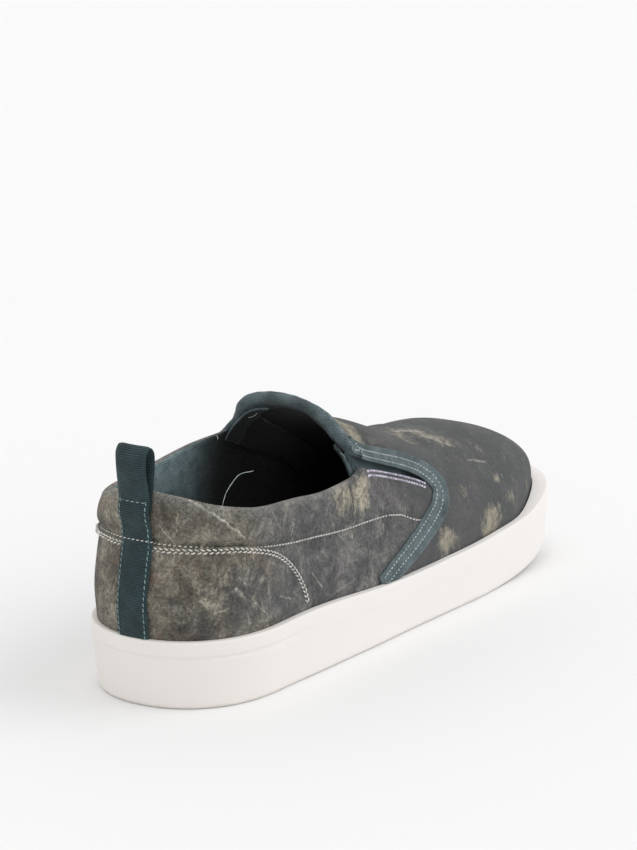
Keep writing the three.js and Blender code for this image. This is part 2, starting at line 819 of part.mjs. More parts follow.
// The webbing up the back seam, over its own tail and round the loop above the collar
function loopGeometry() {
  const across = 3;
  const surfaceRows = 15;
  const loopRows = 16;
  const tailRows = 2;
  const bottom = rimHeight(lastHeel) + fit;
  const seamHeight = heelHeight - loopSeamDrop;
  const tailEnd = seamHeight - loopTailLength;
  const middle = fit + webbingThickness / 2;
  const layer = webbingThickness + fit;
  const rise = heelHeight + loopHeight - seamHeight;
  const liftAt = (height) => {
    const overPatch = clamp((counterHeight + patchClearance - height) / webbingEase + 1, 0, 1);
    const overTail = clamp((height + tailClearance - tailEnd) / webbingEase + 1, 0, 1);
    return (fit + counterThickness) * overPatch + layer * overTail;
  };
  const columns = [];
  for (let j = 0; j <= across; j += 1) {
    const y = webbingWidth * (j / across - 0.5);
    const azimuth = Math.atan2(y, lastHeel - heart.x);
    const on = (height, away) => {
      const { outer, normal } = faceAt(azimuth, elevationOf(azimuth, height));
      return outer.clone().addScaledVector(normal, away);
    };
    const path = [];
    for (let i = 0; i <= surfaceRows; i += 1) {
      const height = lerp(bottom, seamHeight, i / surfaceRows);
      path.push(on(height, middle + liftAt(height)));
    }
    const start = path[surfaceRows];
    const tail = [];
    for (let i = 0; i <= tailRows; i += 1) tail.push(on(lerp(seamHeight, tailEnd, i / tailRows), middle));
    const level = (start.x + tail[0].x) / 2;
    const strands = loopTable.map(({ height, depth }) => {
      const x = level + depth * (loopDepth - webbingThickness);
      return new THREE.Vector3(x, y, seamHeight + rise * height);
    });
    const guide = [path[surfaceRows - 1], start, ...strands, tail[0], tail[1]];
    const curve = pathThrough(guide);
    const span = guide.length - 1;
    for (let i = 1; i < loopRows; i += 1) {
      path.push(curve.getPoint(lerp(1 / span, 1 - 1 / span, i / loopRows)));
    }
    path.push(...tail);
    path.forEach((point) => point.setY(y));
    columns.push(path);
  }
  const sides = [1, -1].map((way) => columns[0].map((unused, i) => columns.map((path) => {
    const before = path[Math.max(i - 1, 0)];
    const after = path[Math.min(i + 1, path.length - 1)];
    const along = after.clone().sub(before).normalize();
    const outward = new THREE.Vector3(-along.z, 0, along.x);
    return path[i].clone().addScaledVector(outward, (way * webbingThickness) / 2);
  })));
  return bodyBetween(sides[1], sides[0]);
}

const canvas = new THREE.MeshStandardMaterial({ color: 0x55544f, roughness: 0.9, metalness: 0 });
const rubber = new THREE.MeshStandardMaterial({ color: 0xebe6e0, roughness: 0.6, metalness: 0 });
const lining = new THREE.MeshStandardMaterial({ color: 0x2c3536, roughness: 0.95, metalness: 0 });
const tape = new THREE.MeshStandardMaterial({ color: 0x4f6265, roughness: 0.85, metalness: 0 });
const elastic = new THREE.MeshStandardMaterial({ color: 0x465a5e, roughness: 0.85, metalness: 0 });
const webbing = new THREE.MeshStandardMaterial({ color: 0x2b4045, roughness: 0.8, metalness: 0 });

const shoe = new THREE.Group();

function addPiece(name, geometry, material) {
  const mesh = new THREE.Mesh(geometry, material);
  mesh.name = name;
  shoe.add(mesh);
}

addPiece('cupsole', soleGeometry(), rubber);
addPiece('insole', insoleGeometry(), lining);
addPiece('upper', upperGeometry(), canvas);
addPiece('gore_lateral', goreGeometry(-1), elastic);
addPiece('gore_medial', goreGeometry(1), elastic);
addPiece('vamp_tape_lateral', tapeGeometry(-1), tape);
addPiece('vamp_tape_medial', tapeGeometry(1), tape);
addPiece('heel_counter', counterGeometry(), canvas);
addPiece('pull_loop', loopGeometry(), webbing);

// The origin lies on the floor under the middle of the shoe
const box = new THREE.Box3().setFromObject(shoe);
const centre = box.getCenter(new THREE.Vector3());
shoe.position.set(-centre.x, -centre.y, -box.min.z);

const model = new THREE.Group();
model.add(shoe);

export default model;
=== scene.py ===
"""Looks of a slip-on sneaker for the right foot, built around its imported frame.

Shoe coordinates are millimetres: X from the heel to the toe, Y from the outer to the inner side, Z up.
"""

import logging
import math
from dataclasses import dataclass, field
from enum import Enum
from typing import Any, Callable, Sequence

import bmesh
import bpy
import numpy as np
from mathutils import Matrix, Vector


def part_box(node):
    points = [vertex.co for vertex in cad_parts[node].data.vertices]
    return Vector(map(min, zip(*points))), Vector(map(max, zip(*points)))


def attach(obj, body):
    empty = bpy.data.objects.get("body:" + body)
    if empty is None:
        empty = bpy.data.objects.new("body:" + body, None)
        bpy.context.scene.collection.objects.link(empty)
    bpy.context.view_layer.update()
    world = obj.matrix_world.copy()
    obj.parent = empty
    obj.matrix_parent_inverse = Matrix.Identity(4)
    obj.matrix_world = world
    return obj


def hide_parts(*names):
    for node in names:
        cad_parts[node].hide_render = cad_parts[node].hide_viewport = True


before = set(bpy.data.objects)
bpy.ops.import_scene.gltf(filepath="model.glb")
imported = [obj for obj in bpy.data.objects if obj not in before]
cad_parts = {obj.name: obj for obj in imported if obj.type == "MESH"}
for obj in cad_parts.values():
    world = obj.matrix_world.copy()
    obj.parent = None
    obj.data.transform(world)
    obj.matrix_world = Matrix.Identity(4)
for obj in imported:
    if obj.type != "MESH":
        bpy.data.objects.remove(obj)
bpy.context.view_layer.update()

LOG = logging.getLogger("sneaker")
Array = np.ndarray
Pair = tuple[Array, Array]
Row = dict[str, float]
Piece = bpy.types.Object
Material = bpy.types.Material
Socket = bpy.types.NodeSocket
MM = 0.001
HALVINGS = 26


class Side(Enum):
    """The two sides of the shoe, by the sign of Y."""

    OUTER = -1
    INNER = 1

    @property
    def word(self) -> str:
        """The side's name in the CAD nodes."""
        return "lateral" if self is Side.OUTER else "medial"


class Through:
    """Smooth curve through one column of a table, which never swings past its rows."""

    def __init__(self, table: Sequence[Row], column: str) -> None:
        """Works out the slopes.

        Args:
            table: rows with an "at" and the column.
            column: name of the value's column.
        """
        self.at = np.array([row["at"] for row in table], float)
        self.value = np.array([row[column] for row in table], float)
        step = np.diff(self.value) / np.diff(self.at)
        before, after = step[:-1], step[1:]
        product, total = before * after, before + after
        total[product <= 0] = 1
        self.slope = np.zeros(len(self.at))
        self.slope[1:-1] = np.where(product <= 0, 0, 2 * product / total)

    def __call__(self, wanted: Array | float) -> Array:
        """Value of the curve at the wanted places.

        Args:
            wanted: places along the table.

        Returns:
            One value for each place.
        """
        x = np.clip(wanted, self.at[0], self.at[-1])
        i = np.clip(np.searchsorted(self.at, x) - 1, 0, len(self.at) - 2)
        span = self.at[i + 1] - self.at[i]
        t = (x - self.at[i]) / span
        rise = self.value[i + 1] - self.value[i]
        bend = (1 - t) * self.slope[i] * span - t * self.slope[i + 1] * span + (2 * t - 1) * rise
        return self.value[i] + rise * t + t * (1 - t) * bend


def table(names: str, *rows: tuple[float, ...]) -> list[Row]:
    """Rows whose columns have the names given, apart by spaces."""
    return [dict(zip(names.split(), row)) for row in rows]


def blend(low: Any, high: Any, share: Any) -> Any:
    """Value between low and high at a share."""
    return low + (high - low) * share


def ease(share: Array) -> Array:
    """Smooth step of a share, held between 0 and 1."""
    t = np.clip(share, 0, 1)
    return t * t * (3 - 2 * t)


def length_of(vectors: Array) -> Array:
    """Lengths of vectors."""
    return np.linalg.norm(vectors, axis=-1)


def unit(vectors: Array) -> Array:
    """The vectors at length 1."""
    return vectors / np.maximum(length_of(vectors)[..., None], 1e-12)


def round_end(distance: Array, length: float, power: Array | float) -> Array:
    """Rise of a rounded end from 0 at its tip to 1 at a length, squarer with a higher power."""
    opened = 1 - np.clip(distance / length, 0, 1)
    return (1 - opened**power) ** (1 / power)


def lengths_along(points: Array) -> Array:
    """Length of a line up to each of its points."""
    return np.concatenate([[0], np.cumsum(length_of(np.diff(points, axis=0)))])


def spline(points: Array, count: int) -> Array:
    """Centripetal curve through points, sampled at even lengths.

    Args:
        points: the points in order.
        count: how many samples.

    Returns:
        The samples, ends included.
    """
    padded = np.vstack([2 * points[0] - points[1], points, 2 * points[-1] - points[-2]])
    pieces = []
    for p0, p1, p2, p3 in zip(padded, padded[1:], padded[2:], padded[3:]):
        d0, d1, d2 = (max(np.linalg.norm(b - a) ** 0.5, 1e-4) for a, b in ((p0, p1), (p1, p2), (p2, p3)))
        t1 = ((p1 - p0) / d0 - (p2 - p0) / (d0 + d1) + (p2 - p1) / d1) * d1
        t2 = ((p2 - p1) / d1 - (p3 - p1) / (d1 + d2) + (p3 - p2) / d2) * d1
        t = np.linspace(0, 1, 24, endpoint=False)[:, None]
        cubic = 2 * p1 - 2 * p2 + t1 + t2
        square = -3 * p1 + 3 * p2 - 2 * t1 - t2
        pieces.append(p1 + t1 * t + square * t**2 + cubic * t**3)
    return resample(np.vstack([*pieces, points[-1:]]), count)


def resample(points: Array, count: int) -> Array:
    """The same line with points at even lengths.

    Args:
        points: the line's points.
        count: how many points the result has.

    Returns:
        The points, ends included.
    """
    arc = lengths_along(points)
    wanted = np.linspace(0, arc[-1], count)
    return np.stack([np.interp(wanted, arc, points[:, k]) for k in range(points.shape[1])], -1)


@dataclass(frozen=True)
class Sizes:
    """The shoe's sizes in millimetres, as in the part's source."""

    sole_length: float = 296.5
    ball_width: float = 96
    instep_height: float = 107
    heel_height: float = 86
    heel_side_height: float = 28.9
    waist_side_height: float = 24.6
    toe_side_height: float = 27
    toe_spring: float = 12
    spring_start: float = 0.7
    toe_rim_share: float = 0.8
    heel_bulge: float = 1.0
    heel_bulge_height: float = 46
    heel_bulge_reach: float = 90
    heel_rounding: float = 45
    toe_rounding: float = 66
    toe_dome_rounding: float = 48
    heel_undercut: float = 2.6
    side_undercut: float = 0.8
    toe_undercut: float = 1.5
    bottom_edge_radius: float = 1.6
    heel_rim_width: float = 2.6
    side_rim_width: float = 3.4
    toe_rim_width: float = 7.2
    rim_radius: float = 0.8
    cup_floor: float = 13
    tread_depth: float = 1.5
    tread_width: float = 3.2
    tread_border: float = 9
    side_line_depth: float = 0.7
    side_line_drop: float = 6
    side_line_end: float = 0.267
    side_line_fade: float = 0.167
    side_fullness: float = 0.12
    wall: float = 2.2
    fit: float = 0.3
    insole_thickness: float = 4
    insole_bevel: float = 1
    collar_pad_out: float = 2.8
    collar_pad_in: float = 2.6
    tab_roll_out: float = 1.2
    tab_roll_in: float = 2.6
    tab_roll_length: float = 9
    tab_turn: float = 38
    tab_fade: float = 8
    swell_start: float = 0.18
    counter_thickness: float = 0.8
    tape_width: float = 11
    gore_thickness: float = 1.2
    inside_setback: float = 1.0
    tape_setback: float = 0.45
    gore_overlap: float = 4
    webbing_width: float = 15
    webbing_thickness: float = 1.2
    webbing_ease: float = 4
    loop_height: float = 21
    loop_depth: float = 7.6
    loop_seam_drop: float = 1.5
    loop_tail_length: float = 4
    patch_clearance: float = 2
    tail_clearance: float = 1
    inner_side_rise: float = 7
    counter_length: float = 71
    counter_height: float = 66.6
    back_reach: float = 110


# The last: its plan, sections and back line, as shares of the sizes
PLAN = table(
    "at middle half",
    (0.0, -0.01, 0.43), (0.16, -0.01, 0.43), (0.3, -0.025, 0.42), (0.44, -0.052, 0.408),
    (0.58, -0.022, 0.452), (0.7, 0.006, 0.492), (0.82, 0.024, 0.5), (1.0, 0.06, 0.51),
)
SECTIONS = table(
    "at ridge shift side crown",
    (0.0, 1.4, 0.0, 3.0, 2.2), (0.2, 1.28, 0.01, 2.9, 2.4), (0.33, 1.1, 0.045, 2.6, 3.4),
    (0.385, 0.965, 0.05, 2.5, 3.4), (0.44, 0.88, 0.045, 2.4, 2.8), (0.51, 0.812, 0.03, 2.3, 2.3),
    (0.64, 0.684, 0.015, 2.2, 2.1), (0.73, 0.648, 0.005, 2.2, 2.1), (0.85, 0.6, -0.01, 2.5, 2.4),
    (0.93, 0.57, -0.03, 2.8, 2.7), (1.0, 0.53, -0.05, 3.0, 3.0),
)
END_POWERS = {"heel": 2.15, "toe_outer": 3.4, "toe_inner": 2.2, "toe_dome": 2.3}
BACK = table(
    "at forward",
    (0.2, 0.0), (0.32, 0.0), (0.48, -0.011), (0.66, 0.014), (0.8, 0.04), (1.0, 0.044), (1.2, 0.044),
)
# Degrees round from the toe, with the height as a share of the heel's
TOPLINE = table(
    "at height",
    (-180, 1.0), (-165, 0.98), (-150, 0.932), (-127, 0.886), (-95, 0.866), (-60, 0.842), (-45, 0.846),
    (-33.5, 0.86), (-30.5, 0.94), (-28, 1.07), (-21, 1.145), (-7, 1.2), (4, 1.215), (12, 1.203),
    (21, 1.17), (26, 1.13), (30, 1.06), (38, 0.985), (62, 0.955), (95, 0.93), (127, 0.9), (150, 0.907),
    (165, 0.965), (180, 1.0),
)
PADDING = table(
    "at share drop",
    (0, 0.0, 20), (30, 0.05, 20), (50, 0.2, 20), (75, 0.4, 17), (110, 0.6, 15), (135, 0.8, 14),
    (160, 1.0, 16), (180, 1.0, 18),
)
# Tape and slot between quarter and vamp: lengths and heights as shares, and the inner side's rise
TAPE = table(
    "at height width rise",
    (0.4, 1.005, 0.6, 0.5), (0.425, 0.95, 0.68, 0.6), (0.48, 0.882, 0.72, 0.5),
    (0.544, 0.803, 0.8, 0.4), (0.584, 0.735, 0.88, 0.2), (0.606, 0.665, 0.95, 0.0),
    (0.608, 0.605, 1.0, 0.0), (0.594, 0.548, 1.0, 0.0), (0.565, 0.495, 1.0, 0.0),
    (0.53, 0.44, 1.0, 0.0),
)
SLOT = table(
    "low_at low high_at high rise",
    (0.366, 0.945, 0.362, 1.17, 1.0), (0.412, 0.875, 0.402, 0.985, 1.0), (0.45, 0.842, 0.454, 0.89, 0.8),
    (0.52, 0.762, 0.528, 0.796, 0.4), (0.572, 0.69, 0.58, 0.712, 0.1), (0.592, 0.65, 0.595, 0.66, 0.0),
)
COUNTER = table(
    "at height",
    (0.0, 1.0), (0.28, 0.98), (0.45, 0.92), (0.62, 0.82), (0.76, 0.67), (0.88, 0.46), (0.96, 0.24),
    (1.0, 0.08),
)
LOOP = table(
    "height depth",
    (0.11, -0.16), (0.24, -0.22), (0.44, -0.37), (0.69, -0.46), (0.9, -0.38), (1.0, 0.02), (0.9, 0.4),
    (0.69, 0.5), (0.44, 0.46), (0.24, 0.34), (0.11, 0.18),
)
TREAD = table("from to count", (0.07, 0.25, 5), (0.5, 0.88, 10))

# Roll along the tab's edge, from the tape over the tab to the inner quarter
ROLL = table(
    "at height radius",
    (-25.8, 0.915, 0.9), (-27.6, 0.945, 1.7), (-29.4, 0.975, 2.3), (-29.8, 1.015, 2.6), (-28.0, 1.07, 2.7),
    (-21.0, 1.138, 2.6), (-7.0, 1.19, 2.6), (4.0, 1.205, 2.6), (12.0, 1.2, 2.6), (21.0, 1.178, 2.7),
    (25.6, 1.14, 2.8), (27.8, 1.09, 2.5), (30.2, 1.05, 1.9), (33.5, 1.02, 1.4), (39.0, 0.975, 0.8),
)

# Collar seam: degrees round from the toe, and height over the floor in millimetres
COLLAR_SEAM = table(
    "at height",
    (23.4, 45.7), (26.7, 51.3), (30.8, 53.7), (36.7, 54.6), (47.8, 55.3), (74.2, 57.8), (108.7, 60.5),
    (130.7, 63.6), (145.6, 66.0), (160.4, 67.6), (171.5, 68.1), (180.0, 68.2),
)

# Thin pale scratches and creases of the cloth: both ends, width and strength
SCRATCHES = table(
    "x y z to_x to_y to_z width strength",
    (9.5, -13.0, 87.5, 13.0, -20.0, 85.5, 0.7, 0.8), (13.0, -20.0, 85.5, 20.0, -30.9, 77.2, 0.8, 1.1),
    (20.0, -30.9, 77.2, 28.3, -35.5, 68.8, 0.8, 1.1), (5.3, -10.4, 75.6, 8.3, -14.4, 69.2, 0.6, 0.9),
    (73.8, -38.5, 43.1, 81.1, -38.7, 35.2, 0.6, 1.0), (58.3, -38.2, 62.8, 60.1, -38.5, 68.9, 0.6, 0.7),
    (15.3, -29.7, 40.1, 20.5, -33.1, 41.3, 0.6, 0.8), (28.5, -36.3, 37.7, 29.9, -36.4, 32.7, 0.6, 0.8),
    (23.6, -34.2, 48.6, 26.8, -35.8, 45.3, 1.1, 0.8), (48.5, -38.7, 40.1, 56.8, -38.6, 37.0, 0.8, 0.6),
    (32.4, -37.4, 41.8, 39.3, -38.2, 35.1, 0.5, 0.8), (86.2, -38.9, 29.6, 106.7, -39.3, 32.6, 0.6, 0.5),
    (200.6, -14.6, 69.1, 211.6, -22.5, 64.1, 0.8, 0.8), (215.4, -30.4, 57.5, 228.5, -32.8, 54.0, 0.7, 0.7),
    (89.1, -37.6, 61.7, 100.2, -38.0, 50.5, 0.5, 0.5), (198.0, -4.0, 73.0, 207.0, -12.0, 69.5, 1.0, 0.8),
)

# Guides of the loose threads in millimetres
LOOSE_THREADS = (
    ((113, 21, 93), (111, 17, 93), (108, 12, 95), (106, 9, 97)),
    ((116, -28, 80), (114, -29, 82), (111, -29, 84)),
    ((26, -26, 79), (30, -25.5, 84.8), (35, -25, 87.8), (42, -24, 89.8), (54, -23, 88.6)),
    ((106, 31, 84), (104, 28, 85), (100, 25, 85)),
)

# Pale feathered patches of the canvas: centre in millimetres, reach and strength
PATCHES = table(
    "x y z reach strength",
    (131, -19, 89, 12, 1.0), (132, -26, 84, 8, 0.75), (191, -9, 73, 10, 0.8), (205, -15, 68, 9, 0.8),
    (213, -20, 65, 8, 0.65), (231, -22, 62, 7, 0.5), (216, -43, 31, 8, 1.0), (212, -43, 30, 6, 0.9),
    (224, -42, 34, 6, 0.7), (177, -42, 31, 8, 0.85), (103, -37, 69, 9, 1.05), (113, -37, 66, 8, 1.05),
    (119, -36, 69, 6, 0.8), (92, -37, 69, 8, 0.5), (199, -38, 49, 3, 0.75), (236, -41, 36, 4, 0.45),
    (229, -38, 47, 3, 0.5), (22, -33, 58, 10, 0.55), (33, -38, 46, 9, 0.5), (12, -26, 48, 9, 0.45),
    (9, 18, 78, 6, 0.55), (9, 20, 45, 9, 0.5), (60, 37, 52, 12, 0.8), (105, 37, 60, 12, 0.9),
    (150, 36, 44, 11, 0.8), (205, 40, 42, 13, 0.9), (235, 20, 60, 12, 0.7), (180, 15, 76, 11, 0.6),
    (262, -12, 48, 9, 0.6), (40, 35, 70, 10, 0.6),
)


class Last:
    """The last's surface, found by rays from a point inside the shoe, and the upper's faces over it."""

    def __init__(self, sizes: Sizes) -> None:
        """Sets up the curves.

        Args:
            sizes: the shoe's sizes.
        """
        s = self.sizes = sizes
        self.plan_middle = Through(PLAN, "middle")
        self.plan_half = Through(PLAN, "half")
        self.ridge = Through(SECTIONS, "ridge")
        self.shift = Through(SECTIONS, "shift")
        self.side_power = Through(SECTIONS, "side")
        self.crown_power = Through(SECTIONS, "crown")
        self.back_forward = Through(BACK, "forward")
        self.topline = Through(TOPLINE, "height")
        self.pad_share = Through(PADDING, "share")
        self.pad_drop = Through(PADDING, "drop")
        toe_rim = s.toe_side_height + s.toe_rim_share * s.toe_spring
        side_rows = (
            (0.0, s.heel_side_height), (0.2, s.heel_side_height), (0.5, s.waist_side_height),
            (0.8, s.toe_side_height), (1.0, toe_rim),
        )
        self.side_height = Through(table("at height", *side_rows), "height")
        rim_rows = (
            (0.00, s.heel_rim_width), (0.18, s.side_rim_width), (0.78, s.side_rim_width),
            (0.92, s.toe_rim_width), (1.00, s.toe_rim_width),
        )
        self.rim_width = Through(table("at width", *rim_rows), "width")
        undercut_rows = (
            (0.00, s.heel_undercut), (0.12, s.heel_undercut), (0.32, s.side_undercut),
            (0.80, s.side_undercut), (1.00, s.toe_undercut),
        )
        self.undercut = Through(table("at by", *undercut_rows), "by")
        self.heel = float(self.inset(0))
        self.toe = s.sole_length - float(self.inset(s.sole_length))
        self.heart = np.array([0.236 * s.sole_length, 0, 0.168 * s.instep_height])

    def share(self, x: Array | float) -> Array:
        """Length along the shoe as a share of the sole's length."""
        return np.asarray(x) / self.sizes.sole_length

    def inset(self, x: Array | float) -> Array:
        """How far the last's base line lies inside the sole's edge."""
        return self.rim_width(self.share(x)) + self.sizes.fit

    def spring(self, x: Array | float) -> Array:
        """Height of the sole's underside over the floor."""
        start = self.sizes.spring_start
        return self.sizes.toe_spring * np.clip((self.share(x) - start) / (1 - start), 0, 1) ** 2

    def rim(self, x: Array | float) -> Array:
        """Height of the rim of the sole."""
        return self.side_height(self.share(x))

    def cup(self, x: Array | float) -> Array:
        """Height of the floor of the cup."""
        return self.sizes.cup_floor + self.spring(x)

    def reach(self, x: Array, z: Array, side: Array) -> Array:
        """How far the last reaches to one side of its middle.

        Args:
            x: lengths along the shoe.
            z: heights.
            side: -1 or 1 for each place.

        Returns:
            The reach, or -1 above the crown.
        """
        s = self.sizes
        share = self.share(x)
        lean = self.back_forward(z / s.heel_height) * s.ball_width * np.clip(1 - x / s.back_reach, 0, 1)
        toe_power = np.where(side < 0, END_POWERS["toe_outer"], END_POWERS["toe_inner"])
        heel_end = round_end(x - self.heel - lean, s.heel_rounding, END_POWERS["heel"])
        toe_end = round_end(self.toe - x, s.toe_rounding, toe_power)
        foot = self.rim(x)
        swelling = np.sin(np.pi * np.clip((z - foot) / s.heel_bulge_height, 0, 1))
        bulge = s.heel_bulge * swelling * np.clip(1 - x / s.heel_bulge_reach, 0, 1)
        half = self.plan_half(share) * s.ball_width - self.inset(x) + bulge
        dome = round_end(self.toe - x, s.toe_dome_rounding, END_POWERS["toe_dome"])
        rise = (self.ridge(share) * s.instep_height - foot) * dome
        height = np.clip((z - foot) / np.maximum(rise, 1e-9), 0, 1)
        arch = (1 - height ** self.crown_power(share)) ** (1 / self.side_power(share))
        level = half * heel_end * toe_end
        return np.where(z <= foot, level, np.where(z >= foot + rise, -1.0, level * arch))

    def middle(self, x: Array, z: Array) -> Array:
        """Middle line of the last's section.

        Args:
            x: lengths along the shoe.
            z: heights.

        Returns:
            A place across the shoe for each.
        """
        s = self.sizes
        foot = self.rim(x)
        share = np.clip((z - foot) / (s.instep_height - foot), 0, 1)
        return (self.plan_middle(self.share(x)) + self.shift(self.share(x)) * share) * s.ball_width

    def ray(self, azimuth: Array, elevation: Array) -> Array:
        """Points of the surface in directions from the heart.

        Args:
            azimuth: angles round from the toe.
            elevation: angles up from level.

        Returns:
            The points, with one more axis than the angles.
        """
        level = np.cos(elevation)
        way = np.stack([np.cos(azimuth) * level, np.sin(azimuth) * level, np.sin(elevation)], -1)
        near = np.zeros(way.shape[:-1])
        far = np.full(way.shape[:-1], self.sizes.sole_length)
        for _ in range(HALVINGS):
            half = (near + far) / 2
            point = self.heart + way * half[..., None]
            aside = point[..., 1] - self.middle(point[..., 0], point[..., 2])
            inside = np.abs(aside) < self.reach(point[..., 0], point[..., 2], np.sign(aside))
            near, far = np.where(inside, half, near), np.where(inside, far, half)
        return self.heart + way * far[..., None]

    def normal(self, azimuth: Array, elevation: Array) -> Array:
        """Outward directions of the surface.

        Args:
            azimuth: angles round from the toe.
            elevation: angles up from level.

        Returns:
            A direction for each.
        """
        step = 0.004
        along = self.ray(azimuth + step, elevation) - self.ray(azimuth - step, elevation)
        up = self.ray(azimuth, elevation + step) - self.ray(azimuth, elevation - step)
        return unit(np.cross(along, up))

    def at_height(self, azimuth: Array, height: Array | float) -> Array:
        """Elevation at which the surface has a height.

        Args:
            azimuth: angles round from the toe.
            height: heights over the floor.

        Returns:
            The elevations.
        """
        azimuth, height = np.broadcast_arrays(np.asarray(azimuth, float), np.asarray(height, float))
        near, far = np.zeros(azimuth.shape), np.full(azimuth.shape, self.sizes.sole_length)
        for _ in range(HALVINGS):
            half = (near + far) / 2
            x = self.heart[0] + np.cos(azimuth) * half
            aside = np.sin(azimuth) * half - self.middle(x, height)
            inside = np.abs(aside) < self.reach(x, height, np.sign(aside))
            near, far = np.where(inside, half, near), np.where(inside, far, half)
        return np.arctan2(height - self.heart[2], far)

    def direction(self, points: Array) -> Pair:
        """Azimuths and elevations of points from the heart."""
        away = points - self.heart
        level = np.hypot(away[..., 0], away[..., 1])
        return np.arctan2(away[..., 1], away[..., 0]), np.arctan2(away[..., 2], level)

    def turn_of(self, points: Array) -> Array:
        """Angles of points round from the toe."""
        return np.arctan2(points[..., 1], points[..., 0] - self.heart[0])

    def top(self, azimuth: Array) -> Array:
        """Points of the topline."""
        height = self.topline(np.degrees(azimuth)) * self.sizes.heel_height
        return self.ray(azimuth, self.at_height(azimuth, height))

    def padding(self, azimuth: Array, drop: Array) -> Pair:
        """Swell of the padded edge, outwards and inwards.

        Args:
            azimuth: angles round from the toe.
            drop: distances below the topline.

        Returns:
            Two arrays of distances.
        """
        s = self.sizes

        def swell(share: Array) -> Array:
            """Fullness of the padding at a share of its drop."""
            return np.where(share >= 1, 0, np.sin(np.pi * blend(s.swell_start, 1, np.minimum(share, 1))))

        turn = np.abs(np.degrees(azimuth))
        collar = self.pad_share(turn) * swell(drop / self.pad_drop(turn))
        tab = np.clip((s.tab_turn - turn) / s.tab_fade, 0, 1) * swell(drop / s.tab_roll_length)
        out = s.collar_pad_out * collar + s.tab_roll_out * tab
        return out, s.collar_pad_in * collar + s.tab_roll_in * tab

    def face(self, azimuth: Array, elevation: Array) -> tuple[Array, Array, Array, Array]:
        """The upper's faces in directions from the heart.

        Args:
            azimuth: angles round from the toe.
            elevation: angles up from level.

        Returns:
            Points of the last, of the outer and the inner face, and the outward directions.
        """
        base = self.ray(azimuth, elevation)
        normal = self.normal(azimuth, elevation)
        top = self.top(azimuth)
        drop = np.where(base[..., 2] > top[..., 2], 0, length_of(base - top))
        out, inwards = self.padding(azimuth, drop)
        outer = base + normal * out[..., None]
        inner = base - normal * (self.sizes.wall + inwards)[..., None]
        return base, outer, inner, normal

    def outer_at(self, azimuth: Array, height: Array) -> Pair:
        """Points of the outer face at heights, with their outward directions."""
        _, outer, _, normal = self.face(azimuth, self.at_height(azimuth, height))
        return outer, normal

    def on_side(self, x: Array, z: Array, side: Side) -> Pair:
        """Directions of places on one side.

        Args:
            x: lengths along the shoe.
            z: heights.
            side: which side.

        Returns:
            Azimuths and elevations.
        """
        way = np.full(np.shape(x), side.value)
        y = self.middle(x, z) + way * np.maximum(self.reach(x, z, way), 0)
        return self.direction(np.stack([x, y, z], -1))

    def stations(self, count: int) -> Array:
        """Points of the base line, the outer side from heel to toe and then the inner side back.

        Args:
            count: how many steps each side has.

        Returns:
            The points in order round the plan.
        """
        crowding = 0.15
        t = np.arange(count + 1) / count
        x = blend(self.heel, self.toe, t - crowding * np.sin(2 * np.pi * t))
        x = np.concatenate([x, x[-2:0:-1]])
        side = np.where(np.arange(len(x)) <= count, -1, 1)
        z = self.rim(x)
        return np.stack([x, self.middle(x, z) + side * self.reach(x, z, side), z], -1)


def level_normals(ring: Array) -> Array:
    """Outward directions of a ring of points, level with the floor."""
    along = np.roll(ring, -1, axis=0) - np.roll(ring, 1, axis=0)
    return unit(np.stack([along[:, 1], -along[:, 0], np.zeros(len(ring))], -1))


